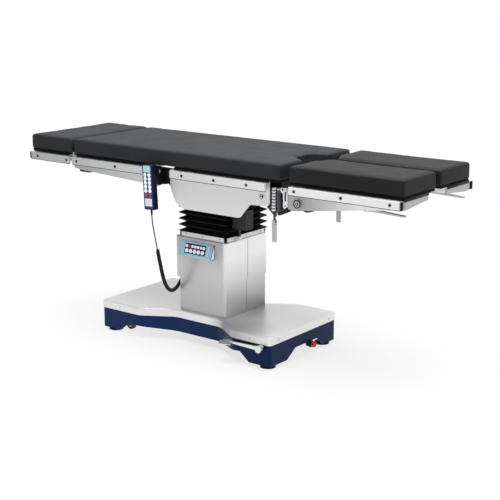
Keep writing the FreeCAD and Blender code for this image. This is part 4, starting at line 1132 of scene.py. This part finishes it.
def add_base_details():
    """The slot above the pedal, rim screws, the stop ball with its collar, and castor and pad hubs."""
    # Painted shade: a thin dark plate where the slot above the pedal opens into the base.
    slot = fresh()
    add_prism(slot, rectangle(185, 320, 98, 105.5), "xz", -249.7, 0.9, 3.0)
    detail("pedal_slot", slot, DARK, "base")
    heads, recess_shades = fresh(), fresh()
    for x in (282, -480):
        for s in (-1, 1):
            add_screw(heads, recess_shades, "y", (x, s * 251, RIM_MIDDLE), s, 4.2)
    for y in (-190, 190):
        add_screw(heads, recess_shades, "x", (390, y, RIM_MIDDLE), 1, 4.2)
        add_screw(heads, recess_shades, "x", (-596, y, RIM_MIDDLE), -1, 4.2)
    detail("rim_screws", heads, BRIGHT, "base")
    detail("rim_recess_shades", recess_shades, DARK, "base")
    collar = fresh()
    add_rod(collar, "x", (390.2, *STOP_AT), 2.2, 17.5, sides=32, edge=0.8)
    detail("stop_collar", collar, DARK, "base")
    ball = fresh()
    made = bmesh.ops.create_uvsphere(ball, u_segments=32, v_segments=20, radius=14.0)["verts"]
    bmesh.ops.translate(ball, vec=(404.5, *STOP_AT), verts=made)
    for vert in made:
        vert.co.x = max(vert.co.x, 398.0)
    button = detail("stop_ball", ball, (red_finish, "red"), "stop_button", 50.0)
    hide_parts("stop_button")
    stems = fresh()
    for x in (-550.5, 344.5):
        for y in (-205.5, 205.5):
            add_rod(stems, "z", (x, y, 13.5), 8.0, 15.0, 12.0, sides=32, edge=0.8)
    detail("floor_pad_collars", stems, BRIGHT, "floor_pads")
    for side, s in SIDES.items():
        for end, x in (("head", -488.0), ("leg", 237.0)):
            hub = fresh()
            for off_middle in (-10.2, 10.2):
                add_rod(hub, "y", (x, s * 168.0 + off_middle, 25), 0.8, 12.0, sides=24, edge=0.3)
            place = side + "_" + end
            detail("castor_hub_" + place, hub, (dull_bright_finish, "bright"), "wheel_" + place)


add_rail_details()
add_seat_details()
add_back_details()
add_leg_details()
add_column_details()
add_panel_details()
add_handset_details()
add_base_details()

# Floor, backdrop and lamps


def add_floor():
    """A wide pale disc that keeps the soft shadow and fades into the white surroundings."""
    bm = fresh()
    bmesh.ops.create_circle(bm, cap_ends=True, segments=96, radius=6000)
    pale = Finish("pale_floor", (0.86, 0.86, 0.86), 0.9)
    floor = finished("floor", bm, pale, None)
    glow = pale.node("ShaderNodeEmission", {}, {"Color": WHITE, "Strength": 1.02})
    spot = pale.node("ShaderNodeTexCoord", {}, {}, "Object")
    reach = pale.node("ShaderNodeVectorMath", {"operation": "LENGTH"}, {0: spot}, "Value")
    fade = pale.steps(reach * 0.25 + 0.54, 0.0, 0.86)
    surface = Signal(pale, pale.shader.outputs[0])
    mix = pale.node("ShaderNodeMixShader", {}, {0: fade, 1: surface, 2: glow})
    pale.feed(pale.tree.nodes["Material Output"].inputs["Surface"], mix)


def set_world():
    """White to the camera, brightest behind and above in reflections, and a soft light for the rest."""
    world = bpy.data.worlds.new("studio")
    bpy.context.scene.world = world
    world.use_nodes = True
    sky = Wiring(world.node_tree)

    def background(color, strength):
        return sky.node("ShaderNodeBackground", {}, {"Color": color, "Strength": strength})

    def ray(kind):
        return sky.node("ShaderNodeLightPath", {}, {}, kind)

    def mix(factor, first, second):
        return sky.node("ShaderNodeMixShader", {}, {0: factor, 1: first, 2: second})

    spot = sky.node("ShaderNodeTexCoord", {}, {}, "Generated")
    brightness = 0.60
    for axis, share in (("Y", 0.34), ("Z", 0.25)):
        part = sky.node("ShaderNodeSeparateXYZ", {}, {0: spot}, axis)
        settings = {"operation": "MULTIPLY_ADD", "use_clamp": True}
        brightness = sky.node("ShaderNodeMath", settings, {0: part, 1: share, 2: brightness})
    direct = sky.node(
        "ShaderNodeMath", {"operation": "MAXIMUM"}, {0: ray("Is Camera Ray"), 1: ray("Is Transmission Ray")},
    )
    ambient = background((0.95, 0.97, 1.0, 1.0), 0.16)
    studio = background(WHITE, brightness)
    surroundings = mix(direct, mix(ray("Is Glossy Ray"), ambient, studio), background(WHITE, 1.0))
    sky.feed(sky.tree.nodes["World Output"].inputs["Surface"], surroundings)


def add_lamp(name, spot, aim, width, height, power):
    data = bpy.data.lights.new(name, "AREA")
    data.shape = "RECTANGLE"
    data.size = width
    data.size_y = height
    data.energy = power
    lamp = bpy.data.objects.new(name, data)
    lamp.location = spot
    lamp.rotation_mode = "QUATERNION"
    lamp.rotation_quaternion = (Vector(aim) - Vector(spot)).to_track_quat("-Z", "Y")
    bpy.context.collection.objects.link(lamp)


add_floor()
set_world()
add_lamp("overhead", (0.5, -0.3, 3.6), (0.0, 0.0, 0.6), 3.2, 2.2, 165.0)
add_lamp("right_fill", (4.2, -1.2, 2.0), (0.0, 0.0, 0.6), 2.0, 1.6, 30.0)
add_lamp("front_fill", (-1.5, -4.2, 1.6), (-0.2, 0.0, 0.5), 2.4, 1.6, 10.0)

bpy.context.scene.view_settings.view_transform = "Standard"
